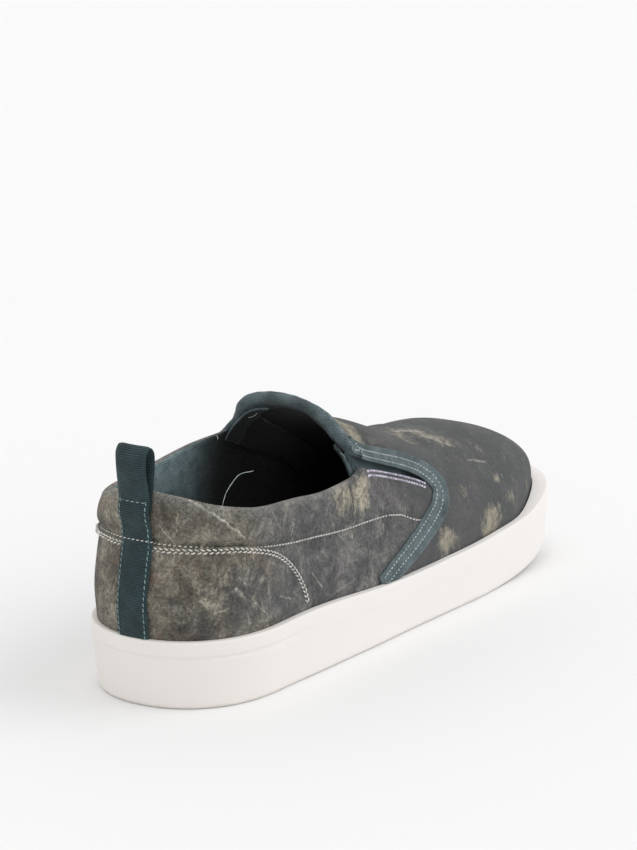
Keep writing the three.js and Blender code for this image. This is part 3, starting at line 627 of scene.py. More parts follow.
@dataclass
class Mesh:
    """Points in millimetres with faces, before they become an object."""

    points: list[Array] = field(default_factory=list)
    faces: list[tuple[int, ...]] = field(default_factory=list)
    slots: list[int] = field(default_factory=list)
    count: int = 0

    def add(self, points: Array) -> Array:
        """Adds points.

        Args:
            points: the points, in any layout.

        Returns:
            Their numbers in the same layout.
        """
        flat = points.reshape(-1, 3)
        numbers = np.arange(self.count, self.count + len(flat)).reshape(points.shape[:-1])
        self.points.append(flat)
        self.count += len(flat)
        return numbers

    def quads(self, numbers: Array, closed: bool = False, slot: int = 0) -> None:
        """Faces between rows of numbers.

        Args:
            numbers: two-way table of point numbers.
            closed: whether each row runs back to its start.
            slot: material slot of the faces.
        """
        if closed:
            numbers = np.concatenate([numbers, numbers[:, :1]], axis=1)
        corners = (numbers[:-1, :-1], numbers[:-1, 1:], numbers[1:, 1:], numbers[1:, :-1])
        rows = np.stack([corner.ravel() for corner in corners], -1).tolist()
        self.faces += [tuple(row) for row in rows]
        self.slots += [slot] * len(rows)

    def bar(self, rings: Array) -> None:
        """A closed bar with both its ends covered.

        Args:
            rings: the points, a row for each ring.
        """
        numbers = self.add(rings)
        self.quads(numbers, closed=True)
        self.faces += [tuple(numbers[0]), tuple(numbers[-1])]
        self.slots += [0, 0]

    def across(self, ring: Array, height: Callable[[Array], Array], columns: int = 12) -> None:
        """Fills a ring of stations with rows across the shoe.

        Args:
            ring: the ring's point numbers, which start at the heel.
            height: height of the filling at lengths along the shoe.
            columns: how many faces each row has.
        """
        points = np.vstack(self.points)[ring]
        half = len(ring) // 2
        left, right = points[1:half], points[:half:-1]
        t = np.linspace(0, 1, columns + 1)[1:-1, None, None]
        inside = blend(left[None], right[None], t)
        inside[..., 2] = height(inside[..., 0])
        grid = np.concatenate([ring[None, 1:half], self.add(inside), ring[None, :half:-1]], axis=0).T
        self.quads(grid)
        for tip, row in ((ring[0], grid[0]), (ring[half], grid[-1])):
            self.faces += [(tip, a, b) for a, b in zip(row[:-1], row[1:])]
            self.slots += [0] * (len(row) - 1)

    def slab(self, high: Array, low: Array) -> None:
        """A closed body between two tables of points, one above the other.

        Args:
            high: the upper points.
            low: the lower points, in the same layout.
        """
        rings = self.add(np.concatenate([high, low[:, ::-1]], axis=1))
        self.quads(rings, closed=True)
        columns = high.shape[1]
        for row in (rings[0], rings[-1]):
            back = row[::-1]
            self.quads(np.stack([row[:columns], back[:columns]]))


@dataclass(frozen=True)
class Place:
    """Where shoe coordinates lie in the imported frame."""

    offset: Array

    @classmethod
    def from_sole(cls, outline: Array) -> "Place":
        """Finds the place from the sole's node.

        Args:
            outline: the sole's outline in shoe coordinates.

        Returns:
            The place.
        """
        low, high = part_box("cupsole")
        middle = (outline.min(0) + outline.max(0)) / 2
        centre = (np.array(low) + np.array(high)) / 2 / MM
        return cls(np.array([centre[0] - middle[0], centre[1] - middle[1], 0.0]))

    def metres(self, points: Array) -> Array:
        """Points in the frame, in metres."""
        return (points + self.offset) * MM

    def shoe(self, points: Array) -> Array:
        """Points of the frame in shoe coordinates."""
        return points / MM - self.offset


def show(name: str, data: bpy.types.ID) -> Piece:
    """Adds an object to the scene."""
    piece = bpy.data.objects.new(name, data)
    bpy.context.scene.collection.objects.link(piece)
    return piece


def make_object(name: str, mesh: Mesh, place: Place, materials: Sequence[Material]) -> Piece:
    """Turns a mesh into a smooth object with its faces outwards.

    Args:
        name: the piece's name.
        mesh: its points and faces.
        place: where the shoe lies in the frame.
        materials: its finishes, in the order of the slots.

    Returns:
        The new object.
    """
    data = bpy.data.meshes.new(name)
    data.from_pydata(place.metres(np.vstack(mesh.points)).tolist(), [], mesh.faces)
    for material in materials:
        data.materials.append(material)
    data.polygons.foreach_set("material_index", mesh.slots)
    work = bmesh.new()
    work.from_mesh(data)
    bmesh.ops.remove_doubles(work, verts=work.verts, dist=1e-7)
    bmesh.ops.recalc_face_normals(work, faces=work.faces)
    work.to_mesh(data)
    work.free()
    piece = show(name, data)
    smooth(piece)
    return piece


def smooth(piece: Piece, angle: float = 40) -> None:
    """Shades a piece smooth apart from its sharp edges."""
    piece.data.shade_smooth()
    piece.data.set_sharp_from_angle(angle=math.radians(angle))


def apply_modifiers(piece: Piece) -> None:
    """Replaces a piece's mesh by what its modifiers make of it.

    Args:
        piece: the piece.
    """
    graph = bpy.context.evaluated_depsgraph_get()
    data = bpy.data.meshes.new_from_object(piece.evaluated_get(graph))
    piece.modifiers.clear()
    piece.data = data


def cut(piece: Piece, cutter: Piece) -> None:
    """Cuts a piece by another and removes the cutter.

    Args:
        piece: what is cut.
        cutter: a closed body.
    """
    tool = piece.modifiers.new("cut", "BOOLEAN")
    tool.operation = "DIFFERENCE"
    tool.solver = "EXACT"
    tool.object = cutter
    apply_modifiers(piece)
    bpy.data.objects.remove(cutter)


def set_attribute(piece: Piece, name: str, values: Array) -> None:
    """Stores one number for each vertex."""
    attribute = piece.data.attributes.new(name, "FLOAT", "POINT")
    attribute.data.foreach_set("value", values.astype(np.float32))


def set_map(piece: Piece, places: Array) -> None:
    """Stores the cloth's own coordinates in millimetres, one pair for each face corner."""
    layer = piece.data.uv_layers.new(name="cloth")
    layer.data.foreach_set("uv", places.astype(np.float32).ravel())


def corner_data(piece: Piece) -> tuple[Array, Array, Array]:
    """What a piece's mesh holds.

    Args:
        piece: the piece.

    Returns:
        Vertices, the vertex of each corner and the face of each corner.
    """
    data = piece.data
    co = np.zeros(len(data.vertices) * 3, np.float32)
    data.vertices.foreach_get("co", co)
    vertex = np.zeros(len(data.loops), np.int32)
    data.loops.foreach_get("vertex_index", vertex)
    total = np.zeros(len(data.polygons), np.int32)
    data.polygons.foreach_get("loop_total", total)
    return co.reshape(-1, 3).astype(float), vertex, np.repeat(np.arange(len(total)), total)


class Value:
    """A shader number on which Python's operators add Math nodes."""

    def __init__(self, shader: "Shader", socket: Socket) -> None:
        """Wraps a socket of a shader."""
        self.shader = shader
        self.socket = socket

    def math(self, operation: str, *others: Any, swap: bool = False) -> "Value":
        """Adds a Math node.

        Args:
            operation: the node's operation.
            others: the other numbers or values.
            swap: whether this value comes last.

        Returns:
            The node's value.
        """
        values = (*others, self) if swap else (self, *others)
        node = self.shader.node("Math", {"operation": operation}, dict(enumerate(values)))
        return Value(self.shader, node.outputs[0])

    def __add__(self, other: Any) -> "Value":
        """Sum."""
        return self.math("ADD", other)

    def __sub__(self, other: Any) -> "Value":
        """Difference."""
        return self.math("SUBTRACT", other)

    def __rsub__(self, other: Any) -> "Value":
        """Difference from a number."""
        return self.math("SUBTRACT", other, swap=True)

    def __mul__(self, other: Any) -> "Value":
        """Product."""
        return self.math("MULTIPLY", other)

    __radd__ = __add__
    __rmul__ = __mul__

    def over(self, low: float, high: float) -> "Value":
        """Smooth step of this value from low to high."""
        names = {"Value": self, "From Min": low, "From Max": high}
        node = self.shader.node("MapRange", {"interpolation_type": "SMOOTHSTEP"}, names)
        return Value(self.shader, node.outputs[0])

    def held(self) -> "Value":
        """This value held between 0 and 1."""
        node = self.shader.node("Clamp", {}, {"Value": self})
        return Value(self.shader, node.outputs[0])


Colour = tuple[float, float, float]


def tone(red: int, green: int, blue: int) -> Colour:
    """Linear colour of screen values from 0 to 255."""
    shares = (red / 255, green / 255, blue / 255)
    return tuple(c / 12.92 if c <= 0.04045 else ((c + 0.055) / 1.055) ** 2.4 for c in shares)


class Shader:
    """A material with its Principled shader and the means to add nodes."""

    def __init__(self, name: str, roughness: float, **sockets: float) -> None:
        """Starts the material.

        Args:
            name: the material's name.
            roughness: the shader's roughness.
            sockets: other fixed values of the shader, with _ for a space.
        """
        self.material = bpy.data.materials.new(name)
        self.material.use_nodes = True
        self.tree = self.material.node_tree
        self.tree.nodes.clear()
        fixed = {key.replace("_", " ").title().replace("Ior", "IOR"): value for key, value in sockets.items()}
        self.surface = self.node("BsdfPrincipled", {}, {"Roughness": roughness, **fixed})
        self.node("OutputMaterial", {}, {"Surface": self.surface.outputs[0]})
        self.object = self.node("TexCoord", {}, {}).outputs["Object"]
        self.wander: Socket | None = None

    def node(self, kind: str, settings: dict[str, Any], inputs: dict[str | int, Any]) -> bpy.types.Node:
        """Adds a node.

        Args:
            kind: the node's type without its prefix.
            settings: its settings, with "ramp" for a ramp's stops.
            inputs: values or links of its sockets, by name or number.

        Returns:
            The node.
        """
        node = self.tree.nodes.new("ShaderNode" + kind)
        for key, value in settings.items():
            if key == "ramp":
                self.set_ramp(node, value)
            else:
                setattr(node, key, value)
        for key, value in inputs.items():
            socket = value.socket if isinstance(value, Value) else value
            if isinstance(socket, Socket):
                self.tree.links.new(socket, node.inputs[key])
            elif isinstance(socket, tuple) and node.inputs[key].type == "RGBA":
                node.inputs[key].default_value = (*socket, 1)
            else:
                node.inputs[key].default_value = socket
        return node

    @staticmethod
    def set_ramp(node: bpy.types.Node, stops: Sequence[tuple[float, Colour]]) -> None:
        """Sets a colour ramp's stops.

        Args:
            node: the ramp.
            stops: at least two places with their colours.
        """
        elements = node.color_ramp.elements
        while len(elements) < len(stops):
            elements.new(0.5)
        for element, (at, colour) in zip(elements, stops):
            element.position = at
            element.color = (*colour, 1)

    def attribute(self, name: str) -> Value:
        """A number stored on the piece's vertices."""
        return Value(self, self.node("Attribute", {"attribute_name": name}, {}).outputs["Fac"])

    def noise(self, size: float, detail: float = 3, rough: float = 0.55, warp: float = 0, **at: Any) -> Value:
        """Noise with features of a size in millimetres.

        Args:
            size: size of the largest features.
            detail: how many finer layers it has.
            rough: strength of the finer layers.
            warp: how far it is twisted.
            at: "vector" to read other coordinates.

        Returns:
            The noise, about 0.5.
        """
        names = {"Vector": at.get("vector", self.object), "Scale": 1 / (size * MM), "Detail": detail}
        names |= {"Roughness": rough, "Distortion": warp}
        return Value(self, self.node("TexNoise", {}, names).outputs["Fac"])

    def stretched(self, scale: Colour, turn: Colour) -> Socket:
        """Object coordinates turned, in degrees, and then scaled."""
        angles = tuple(math.radians(angle) for angle in turn)
        names = {"Vector": self.object, "Rotation": angles, "Scale": scale}
        return self.node("Mapping", {"vector_type": "POINT"}, names).outputs[0]

    def stroke(self, place: Place, row: Row) -> Value:
        """Mask of one wandering line on the surface.

        Args:
            place: where the shoe lies in the frame.
            row: the line's ends, width and strength, in millimetres.

        Returns:
            The mask.
        """
        start = np.array([row["x"], row["y"], row["z"]])
        end = np.array([row["to_x"], row["to_y"], row["to_z"]])
        outward = unit((start + end) / 2 - np.array([70.0, 0.0, 40.0]))
        way = (end - start) * MM
        way = way - outward * (way @ outward)
        vector = lambda kind, *inputs: self.node("VectorMath", {"operation": kind}, dict(enumerate(inputs)))
        if self.wander is None:
            blur = self.node("TexNoise", {}, {"Vector": self.object, "Scale": 260, "Detail": 2})
            small = vector("MULTIPLY", blur.outputs["Color"], (1.6 * MM,) * 3)
            self.wander = vector("ADD", self.object, small.outputs[0]).outputs[0]
        away = vector("SUBTRACT", self.wander, tuple(place.metres(start) + 0.8 * MM)).outputs[0]
        out = Value(self, vector("DOT_PRODUCT", away, tuple(outward)).outputs["Value"])
        lift = self.node("VectorMath", {"operation": "SCALE"}, {0: tuple(outward), "Scale": out}).outputs[0]
        flat = vector("SUBTRACT", away, lift).outputs[0]
        along = Value(self, vector("DOT_PRODUCT", flat, tuple(way / (way @ way))).outputs["Value"]).held()
        run = self.node("VectorMath", {"operation": "SCALE"}, {0: tuple(way), "Scale": along}).outputs[0]
        gap = Value(self, vector("LENGTH", vector("SUBTRACT", flat, run).outputs[0]).outputs["Value"])
        near = out.math("ABSOLUTE").over(14 * MM, 10 * MM)
        return gap.over(row["width"] * MM, 0.0) * near * row["strength"]

    def cloth(self) -> tuple[Value, Value]:
        """The piece's own cloth coordinates in millimetres."""
        place = self.node("UVMap", {"uv_map": "cloth"}, {}).outputs[0]
        parts = self.node("SeparateXYZ", {}, {0: place})
        return Value(self, parts.outputs[0]), Value(self, parts.outputs[1])

    def ramp(self, value: Value, *stops: tuple[float, Colour]) -> Socket:
        """Colour of a value through stops."""
        return self.node("ValToRGB", {"ramp": stops}, {0: value}).outputs[0]

    def mix(self, share: Any, first: Any, second: Any, how: str = "MIX") -> Socket:
        """Two colours mixed by a share."""
        settings = {"data_type": "RGBA", "blend_type": how}
        return self.node("Mix", settings, {0: share, 6: first, 7: second}).outputs[2]

    def grey(self, value: Value) -> Socket:
        """A number as a grey colour."""
        return self.node("CombineColor", {}, {0: value, 1: value, 2: value}).outputs[0]

    def finish(self, colour: Socket, height: Value, roughness: Value | None = None) -> Material:
        """Joins colour, relief and roughness to the shader.

        Args:
            colour: the base colour.
            height: the relief in millimetres.
            roughness: roughness where it varies.

        Returns:
            The material.
        """
        bump = self.node("Bump", {}, {"Height": height, "Distance": MM, "Strength": 1.0})
        links = [(colour, "Base Color"), (bump.outputs[0], "Normal")]
        if roughness is not None:
            links.append((roughness.socket, "Roughness"))
        for socket, name in links:
            self.tree.links.new(socket, self.surface.inputs[name])
        return self.material


@dataclass(frozen=True)
class CanvasFinish:
    """Washed canvas, dark grey with khaki shades at the heel and pale feathered patches, with a painted
    highlight along the collar's top and a crease ridge.
    """

    thread: float = 1.15
    relief: float = 0.1
    dark: Colour = tone(56, 57, 57)
    grey: Colour = tone(84, 84, 84)
    light: Colour = tone(132, 131, 127)
    brown: Colour = tone(62, 57, 50)
    olive: Colour = tone(101, 97, 87)
    sand: Colour = tone(154, 149, 134)
    rust: Colour = tone(112, 92, 80)
    patch: Colour = tone(186, 178, 154)
    plum: Colour = tone(100, 92, 99)
    calm_grey: Colour = tone(75, 77, 78)
    scratch: Colour = tone(184, 181, 170)

    def make(self, place: Place) -> Material:
        """Builds the material.

        Args:
            place: where the shoe lies in the frame.

        Returns:
            The material.
        """
        m = Shader("washed_canvas", 0.92, sheen_weight=0.05)
        broad = m.noise(34, 4, 0.6, 0.8)
        cloud = m.noise(12, 7, 0.72, 0.6)
        fine = m.noise(1.5, 3, 0.7)
        down = m.noise(5, 5, 0.75, 0.4, vector=m.stretched((2.2, 2.2, 0.7), (0, 0, 0)))
        khaki = m.attribute("khaki")
        calm = m.attribute("calm")
        patch = m.attribute("patch")
        wear = m.attribute("wear")
        washed = m.ramp(cloud, (0.32, self.dark), (0.50, self.grey), (0.70, self.light))
        washed = m.mix(calm * 0.78, washed, self.calm_grey)
        washed = m.mix((broad.over(0.52, 0.66) * 0.6), washed, m.mix(0.5, washed, self.plum))
        warm = m.ramp(cloud * 0.65 + broad * 0.35, (0.36, self.brown), (0.49, self.olive), (0.64, self.sand))
        rusty = m.noise(16, 3, 0.6, 0.5, vector=m.stretched((1, 1, 1), (40, 10, 70)))
        warm = m.mix(rusty.over(0.55, 0.68) * 0.55, warm, self.rust)
        body = m.mix((khaki + (broad - 0.5) * 1.6).over(0.2, 0.9), washed, warm)
        bleach = (patch + (cloud - 0.5) * 2.2 + (down - 0.5) * 1.4).over(0.3, 0.95)
        body = m.mix(bleach * 0.6, body, self.patch)
        streak_a = m.noise(9, 3, 0.6, 0.2, vector=m.stretched((5, 5, 0.55), (8, 38, 0)))
        streak_b = m.noise(12, 3, 0.6, 0.2, vector=m.stretched((5, 5, 0.5), (-10, -52, 20)))
        scratch = streak_a.over(0.66, 0.74) + streak_b.over(0.67, 0.75)
        body = m.mix((scratch * 0.4).held(), body, self.patch)
        # Painted highlight: lighter along the top of the padded collar and along the crease ridge
        body = m.mix(wear.held() * 0.5, body, self.light)
        strokes = sum((m.stroke(place, row) for row in SCRATCHES), start=scratch * 0.0)
        body = m.mix((strokes * (cloud.over(0.3, 0.6) * 0.45 + 0.2)).held(), body, self.scratch)
        u, v = m.cloth()
        turn = 2 * math.pi / self.thread
        weave = (u * turn).math("SINE") * (v * turn).math("SINE")
        slubs = m.noise(1.1, 2, 0.6)
        strong = 1 - calm * 0.6
        light = 1.0 + (weave * 0.34 + (slubs - 0.5) * 2.1 + (fine - 0.5) * 1.1) * strong
        colour = m.mix(1.0, body, m.grey(light), "MULTIPLY")
        return m.finish(colour, (weave + slubs * 1.5) * self.relief)


@dataclass(frozen=True)
class PlainCloth:
    """A woven cloth of one colour with ribs or a weave on its own coordinates, darkened by painted shade
    where an attribute says.
    """

    name: str
    colour: Colour
    shade: Colour
    thread: float = 0.7
    ribs: float = 0.0
    relief: float = 0.06
    # Name of an attribute that darkens the cloth as painted shade or painted shadow; empty for none
    depth: str = ""
    contrast: float = 0.18

    def make(self) -> Material:
        """Builds the material.

        Returns:
            The material.
        """
        m = Shader(self.name, 0.9, sheen_weight=0.1)
        cloud = m.noise(7, 4, 0.6)
        fine = m.noise(0.8, 2, 0.7)
        u, v = m.cloth()
        turn = 2 * math.pi / self.thread
        weave = (u * turn).math("SINE") * (v * turn).math("SINE")
        ribs = (v * turn).math("SINE") * self.ribs + weave * (1 - self.ribs)
        body = m.mix(cloud.over(0.3, 0.72), self.shade, self.colour)
        light = 0.98 + ribs * self.contrast + (fine - 0.5) * 0.9
        # Painted shade: darkens the colour by the named attribute
        if self.depth:
            light = light * (1 - m.attribute(self.depth))
        colour = m.mix(1.0, body, m.grey(light), "MULTIPLY")
        return m.finish(colour, (ribs + fine) * self.relief)


@dataclass(frozen=True)
class RubberFinish:
    """Off-white moulded rubber with painted shade greying it towards the heel, a fine skin, and a faint
    darkening towards its bottom edge.
    """

    pale: Colour = tone(238, 234, 231)
    shaded_grey: Colour = tone(233, 228, 223)
    bottom_grey: Colour = tone(206, 200, 191)

    def make(self) -> Material:
        """Builds the material.

        Returns:
            The material.
        """
        m = Shader("sole_rubber", 0.55, specular_ior_level=0.35)
        cloud = m.noise(30, 4, 0.55)
        skin = m.noise(0.7, 2, 0.6)
        heel = m.attribute("heel")
        foot = m.attribute("foot")
        # Painted shade: greyer towards the heel, mixed with random mottling
        body = m.mix((heel * 0.75 + (cloud - 0.5) * 0.35).held(), self.pale, self.shaded_grey)
        # Darker towards the bottom edge, broken by noise
        bottom_darkening = (foot + (m.noise(5, 5, 0.7) - 0.5) * 1.0).over(0.55, 1.0)
        body = m.mix(bottom_darkening * 0.35, body, self.bottom_grey)
        return m.finish(body, skin * 0.025 + cloud * 0.1, 0.5 + cloud * 0.15)


@dataclass(frozen=True)
class ThreadFinish:
    """Twisted sewing thread of one colour."""

    name: str
    colour: Colour
    shade: Colour

    def make(self) -> Material:
        """Builds the material.

        Returns:
            The material.
        """
        m = Shader(self.name, 0.7, sheen_weight=0.1)
        twist = m.noise(0.6, 2, 0.7)
        body = m.mix(m.noise(2.2, 3, 0.6).over(0.3, 0.6), self.shade, self.colour)
        return m.finish(body, twist * 0.06)


@dataclass(frozen=True)
class Palette:
    """The finishes of the shoe."""

    canvas: Material
    lining: Material
    binding: Material
    elastic: Material
    webbing: Material
    rubber: Material
    white_thread: Material
    pale_thread: Material
    lilac_thread: Material
    teal_thread: Material

    @classmethod
    def mix(cls, place: Place) -> "Palette":
        """Makes every finish.

        Args:
            place: where the shoe lies in the frame.

        Returns:
            The finishes.
        """
        # The lining and the elastic are darkened by painted shade inside the shoe; the binding and the
        # webbing by the painted shadow along the tapes' rolled edges
        lining = PlainCloth(
            "lining_cloth", tone(124, 144, 147), tone(90, 109, 113),
            thread=1.0, ribs=0.5, relief=0.08, depth="deep", contrast=0.3,
        )
        binding = PlainCloth(
            "binding_tape", tone(100, 115, 118), tone(64, 78, 81),
            thread=1.1, ribs=0.25, relief=0.11, depth="fold", contrast=0.45,
        )
        elastic = PlainCloth(
            "elastic_gore", tone(92, 110, 114), tone(66, 83, 87),
            thread=1.1, ribs=0.9, relief=0.1, depth="deep",
        )
        webbing = PlainCloth(
            "grosgrain", tone(42, 63, 66), tone(27, 46, 49),
            thread=0.95, ribs=0.95, relief=0.02, depth="fold", contrast=0.55,
        )
        white = ThreadFinish("white_thread", tone(222, 220, 214), tone(178, 175, 168))
        pale = ThreadFinish("pale_thread", tone(196, 204, 204), tone(134, 148, 150))
        lilac = ThreadFinish("lilac_thread", tone(222, 218, 232), tone(150, 142, 168))
        teal = ThreadFinish("teal_thread", tone(128, 152, 152), tone(76, 100, 102))
        return cls(
            CanvasFinish().make(place), lining.make(), binding.make(), elastic.make(), webbing.make(),
            RubberFinish().make(), white.make(), pale.make(), lilac.make(), teal.make(),
        )


@dataclass
class Workshop:
    """What every sub-assembly needs: the last, its place in the frame and the finishes."""

    last: Last
    place: Place
    palette: Palette

    def make(self, name: str, mesh: Mesh, *materials: Material) -> Piece:
        """Turns a mesh in shoe coordinates into an object with its finishes."""
        return make_object(name, mesh, self.place, materials)

    def points_of(self, piece: Piece) -> Pair:
        """A piece's vertices in shoe coordinates, and the vertex of each corner."""
        co, vertex, _ = corner_data(piece)
        return self.place.shoe(co), vertex

    def finish_piece(self, piece: Piece, slot: str, *nodes: str) -> Piece:
        """Sets a piece's body and hides the nodes that it stands for.

        Args:
            piece: the piece.
            slot: not used.
            nodes: the nodes that it replaces.

        Returns:
            The piece.
        """
        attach(piece, "root")
        if nodes:
            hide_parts(*nodes)
        LOG.info("%s: %d faces", piece.name, len(piece.data.polygons))
        return piece


def across_slot(
    last: Last, side: Side, start: tuple[float, float], overlap: float, rows: int, columns: int
) -> Pair:
    """Directions across the slot between quarter and vamp.

    Args:
        last: the last.
        side: which side.
        start: shares of the low and the high edge at which the directions start.
        overlap: how far the directions reach past the slot's edges.
        rows: steps along the slot.
        columns: steps across it.

    Returns:
        Azimuths and elevations, a row for each step along the slot.
    """
    s = last.sizes
    edges = []
    for edge in ("low", "high"):
        points = []
        for row in SLOT:
            lift = s.inner_side_rise * row["rise"] if side is Side.INNER else 0
            points.append((row[edge + "_at"] * s.sole_length, 0, row[edge] * s.heel_height + lift))
        edges.append(spline(np.array(points), 4 * rows + 1))
    low, high = (resample(edge[int(begin * 4 * rows) :], rows + 1) for edge, begin in zip(edges, start))
    wider = unit(high - low) * overlap
    low, high = low - wider, high + wider
    places = blend(low[:, None], high[:, None], np.linspace(0, 1, columns + 1)[None, :, None])
    return last.on_side(places[..., 0], places[..., 2], side)


@dataclass
class UpperShell:
    """The canvas upper: quarters, vamp, padded collar and rolled tab as one hollow wall."""

    shop: Workshop
    around: int = 170
    side_rows: int = 58
    roll_rows: int = 12
    rim_rows: int = 9
    inner_rows: int = 34

    def strings(self) -> tuple[Array, Array, Array, Array]:
        """Strings of the surface from each station up to the topline.

        Returns:
            Stations, their azimuths, and elevations and lengths along each string.
        """
        last = self.shop.last
        feet = last.stations(self.around)
        azimuth, start = last.direction(feet)
        _, end = last.direction(last.top(azimuth))
        t = np.linspace(0, 1, 97)
        elevations = blend(start[:, None], end[:, None], t[None])
        places = last.ray(np.broadcast_to(azimuth[:, None], elevations.shape), elevations)
        steps = length_of(np.diff(places, axis=1))
        arcs = np.concatenate([np.zeros((len(feet), 1)), np.cumsum(steps, axis=1)], axis=1)
        return feet, azimuth, elevations, arcs

    def wall(self) -> Mesh:
        """The hollow wall before the slots are cut.

        Returns:
            A closed mesh, lined from its rim inwards.
        """
        last, s = self.shop.last, self.shop.last.sizes
        feet, azimuth, elevations, arcs = self.strings()
        length = arcs[:, -1]

        def along(lengths: Array) -> Pair:
            """Azimuths and elevations at lengths along each string."""
            rows = [np.interp(want, arc, up) for want, arc, up in zip(lengths, arcs, elevations)]
            return np.broadcast_to(azimuth[:, None], lengths.shape), np.array(rows)

        power = blend(1, 1.5, np.clip((length - 70) / 110, 0, 1))[:, None]
        body = (length - s.tab_roll_length)[:, None]
        low_rows = body * (np.arange(self.side_rows + 1) / self.side_rows) ** power
        roll = body + s.tab_roll_length * np.arange(1, self.roll_rows + 1) / self.roll_rows
        _, outer, _, normal = last.face(*along(np.concatenate([low_rows, roll], axis=1)))
        outer = outer + normal * relief(last, outer)[..., None]
        base, _, inner_top, _ = last.face(*along(length[:, None]))
        below, *_ = last.face(*along(length[:, None] - 1))
        up = unit(base - below)
        top = outer[:, -1:]
        middle, radius = (top + inner_top) / 2, length_of(top - inner_top)[..., None] / 2
        turn = (np.pi * np.arange(1, self.rim_rows + 1) / (self.rim_rows + 1))[None, :, None]
        rim = middle + unit(top - middle) * radius * np.cos(turn) + up * radius * np.sin(turn)
        inner_at = length[:, None] * (np.arange(self.inner_rows, -1, -1) / self.inner_rows) ** power
        _, _, inner, _ = last.face(*along(inner_at))
        low = feet.copy()
        low[:, 2] = last.cup(feet[:, 0]) + s.fit
        inner_low = low - level_normals(feet) * s.wall
        columns = np.concatenate([low[:, None], outer, rim, inner, inner_low[:, None]], axis=1)
        mesh = Mesh()
        numbers = mesh.add(columns)
        rings = np.concatenate([numbers, numbers[:, :1]], axis=1).T
        top_row = 1 + self.side_rows + self.roll_rows
        for row in range(len(rings) - 1):
            lined = row > top_row + self.rim_rows - 3
            mesh.quads(rings[row : row + 2], closed=True, slot=1 if lined else 0)
        return mesh

    def build(self) -> Piece:
        """Makes the upper with its slots and dresses it.

        Returns:
            The piece.
        """
        shop = self.shop
        materials = [shop.palette.canvas, shop.palette.lining, shop.palette.binding]
        piece = shop.make("upper_canvas", self.wall(), *materials)
        s = shop.last.sizes
        beyond = s.wall + s.collar_pad_out + s.collar_pad_in
        for side in Side:
            azimuth, elevation = across_slot(shop.last, side, (0.0, 0.0), 0, 40, 8)
            base, _, _, normal = shop.last.face(azimuth, elevation)
            knife = Mesh()
            knife.slab(base + normal * beyond, base - normal * (s.wall + beyond))
            cut(piece, shop.make("slot_knife", knife, shop.palette.binding))
        smooth(piece, 50)
        dress_canvas(piece, shop)
        self.bind_tab(piece)
        return shop.finish_piece(piece, "canvas", "upper")

    def bind_tab(self, piece: Piece) -> None:
        """Gives the tab's edge its binding, above the slots only.

        Args:
            piece: the cut upper.
        """
        last, s = self.shop.last, self.shop.last.sizes
        centres = np.zeros(len(piece.data.polygons) * 3, np.float32)
        piece.data.polygons.foreach_get("center", centres)
        centres = self.shop.place.shoe(centres.reshape(-1, 3).astype(float))
        azimuth = last.turn_of(centres)
        x = s.sole_length * np.array([(row["low_at"] + row["high_at"]) / 2 for row in SLOT])
        z = s.heel_height * np.array([(row["low"] + row["high"]) / 2 for row in SLOT])
        lift = s.inner_side_rise * np.array([row["rise"] for row in SLOT])
        slot = np.interp(centres[:, 0], x, z) + (centres[:, 1] > 0) * np.interp(centres[:, 0], x, lift)
        edge = length_of(centres - last.top(azimuth))
        ahead = np.abs(np.degrees(azimuth)) < s.tab_turn + 4
        bound = ahead & (centres[:, 2] > slot) & (edge < s.tab_roll_length - 2)
        slots = np.zeros(len(centres), np.int32)
        piece.data.polygons.foreach_get("material_index", slots)
        piece.data.polygons.foreach_set("material_index", np.where(bound, 2, slots).astype(np.int32))


# Creases and soft hollows: centre, direction, half length and width, and height over the plain face
CREASES = table(
    "x y z dx dy dz length width depth",
    (20, -30, 78, 0.72, -0.30, -0.42, 26, 1.6, 0.55),
    (15, -24, 71, 0.5, -0.3, -0.8, 9, 1.5, -0.35),
    (150, -34, 58, 0.8, 0, -0.6, 16, 4.5, -0.5),
    (128, -38, 45, 0.7, 0, -0.7, 22, 6.0, -0.45),
    (105, -38, 38, 0.9, 0, 0.3, 20, 6.0, 0.4),
    (190, -12, 74, 0.1, 1, 0, 30, 9.0, -0.8),
    (206, 0, 71, 0.1, 1, 0, 34, 7.0, 0.5),
    (222, 4, 69, 0.0, 1, 0, 34, 8.0, -0.6),
    (60, 38, 55, 0.9, 0, 0.4, 24, 6.0, -0.5),
    (140, 36, 48, 0.8, 0, -0.5, 22, 6.0, -0.5),
)


def round_heel(count: int) -> Array:
    """Degrees along the collar's seam, from one side round the heel to the other."""
    start = COLLAR_SEAM[0]["at"]
    return np.concatenate([np.linspace(-start, -180, count), np.linspace(180, start, count)])


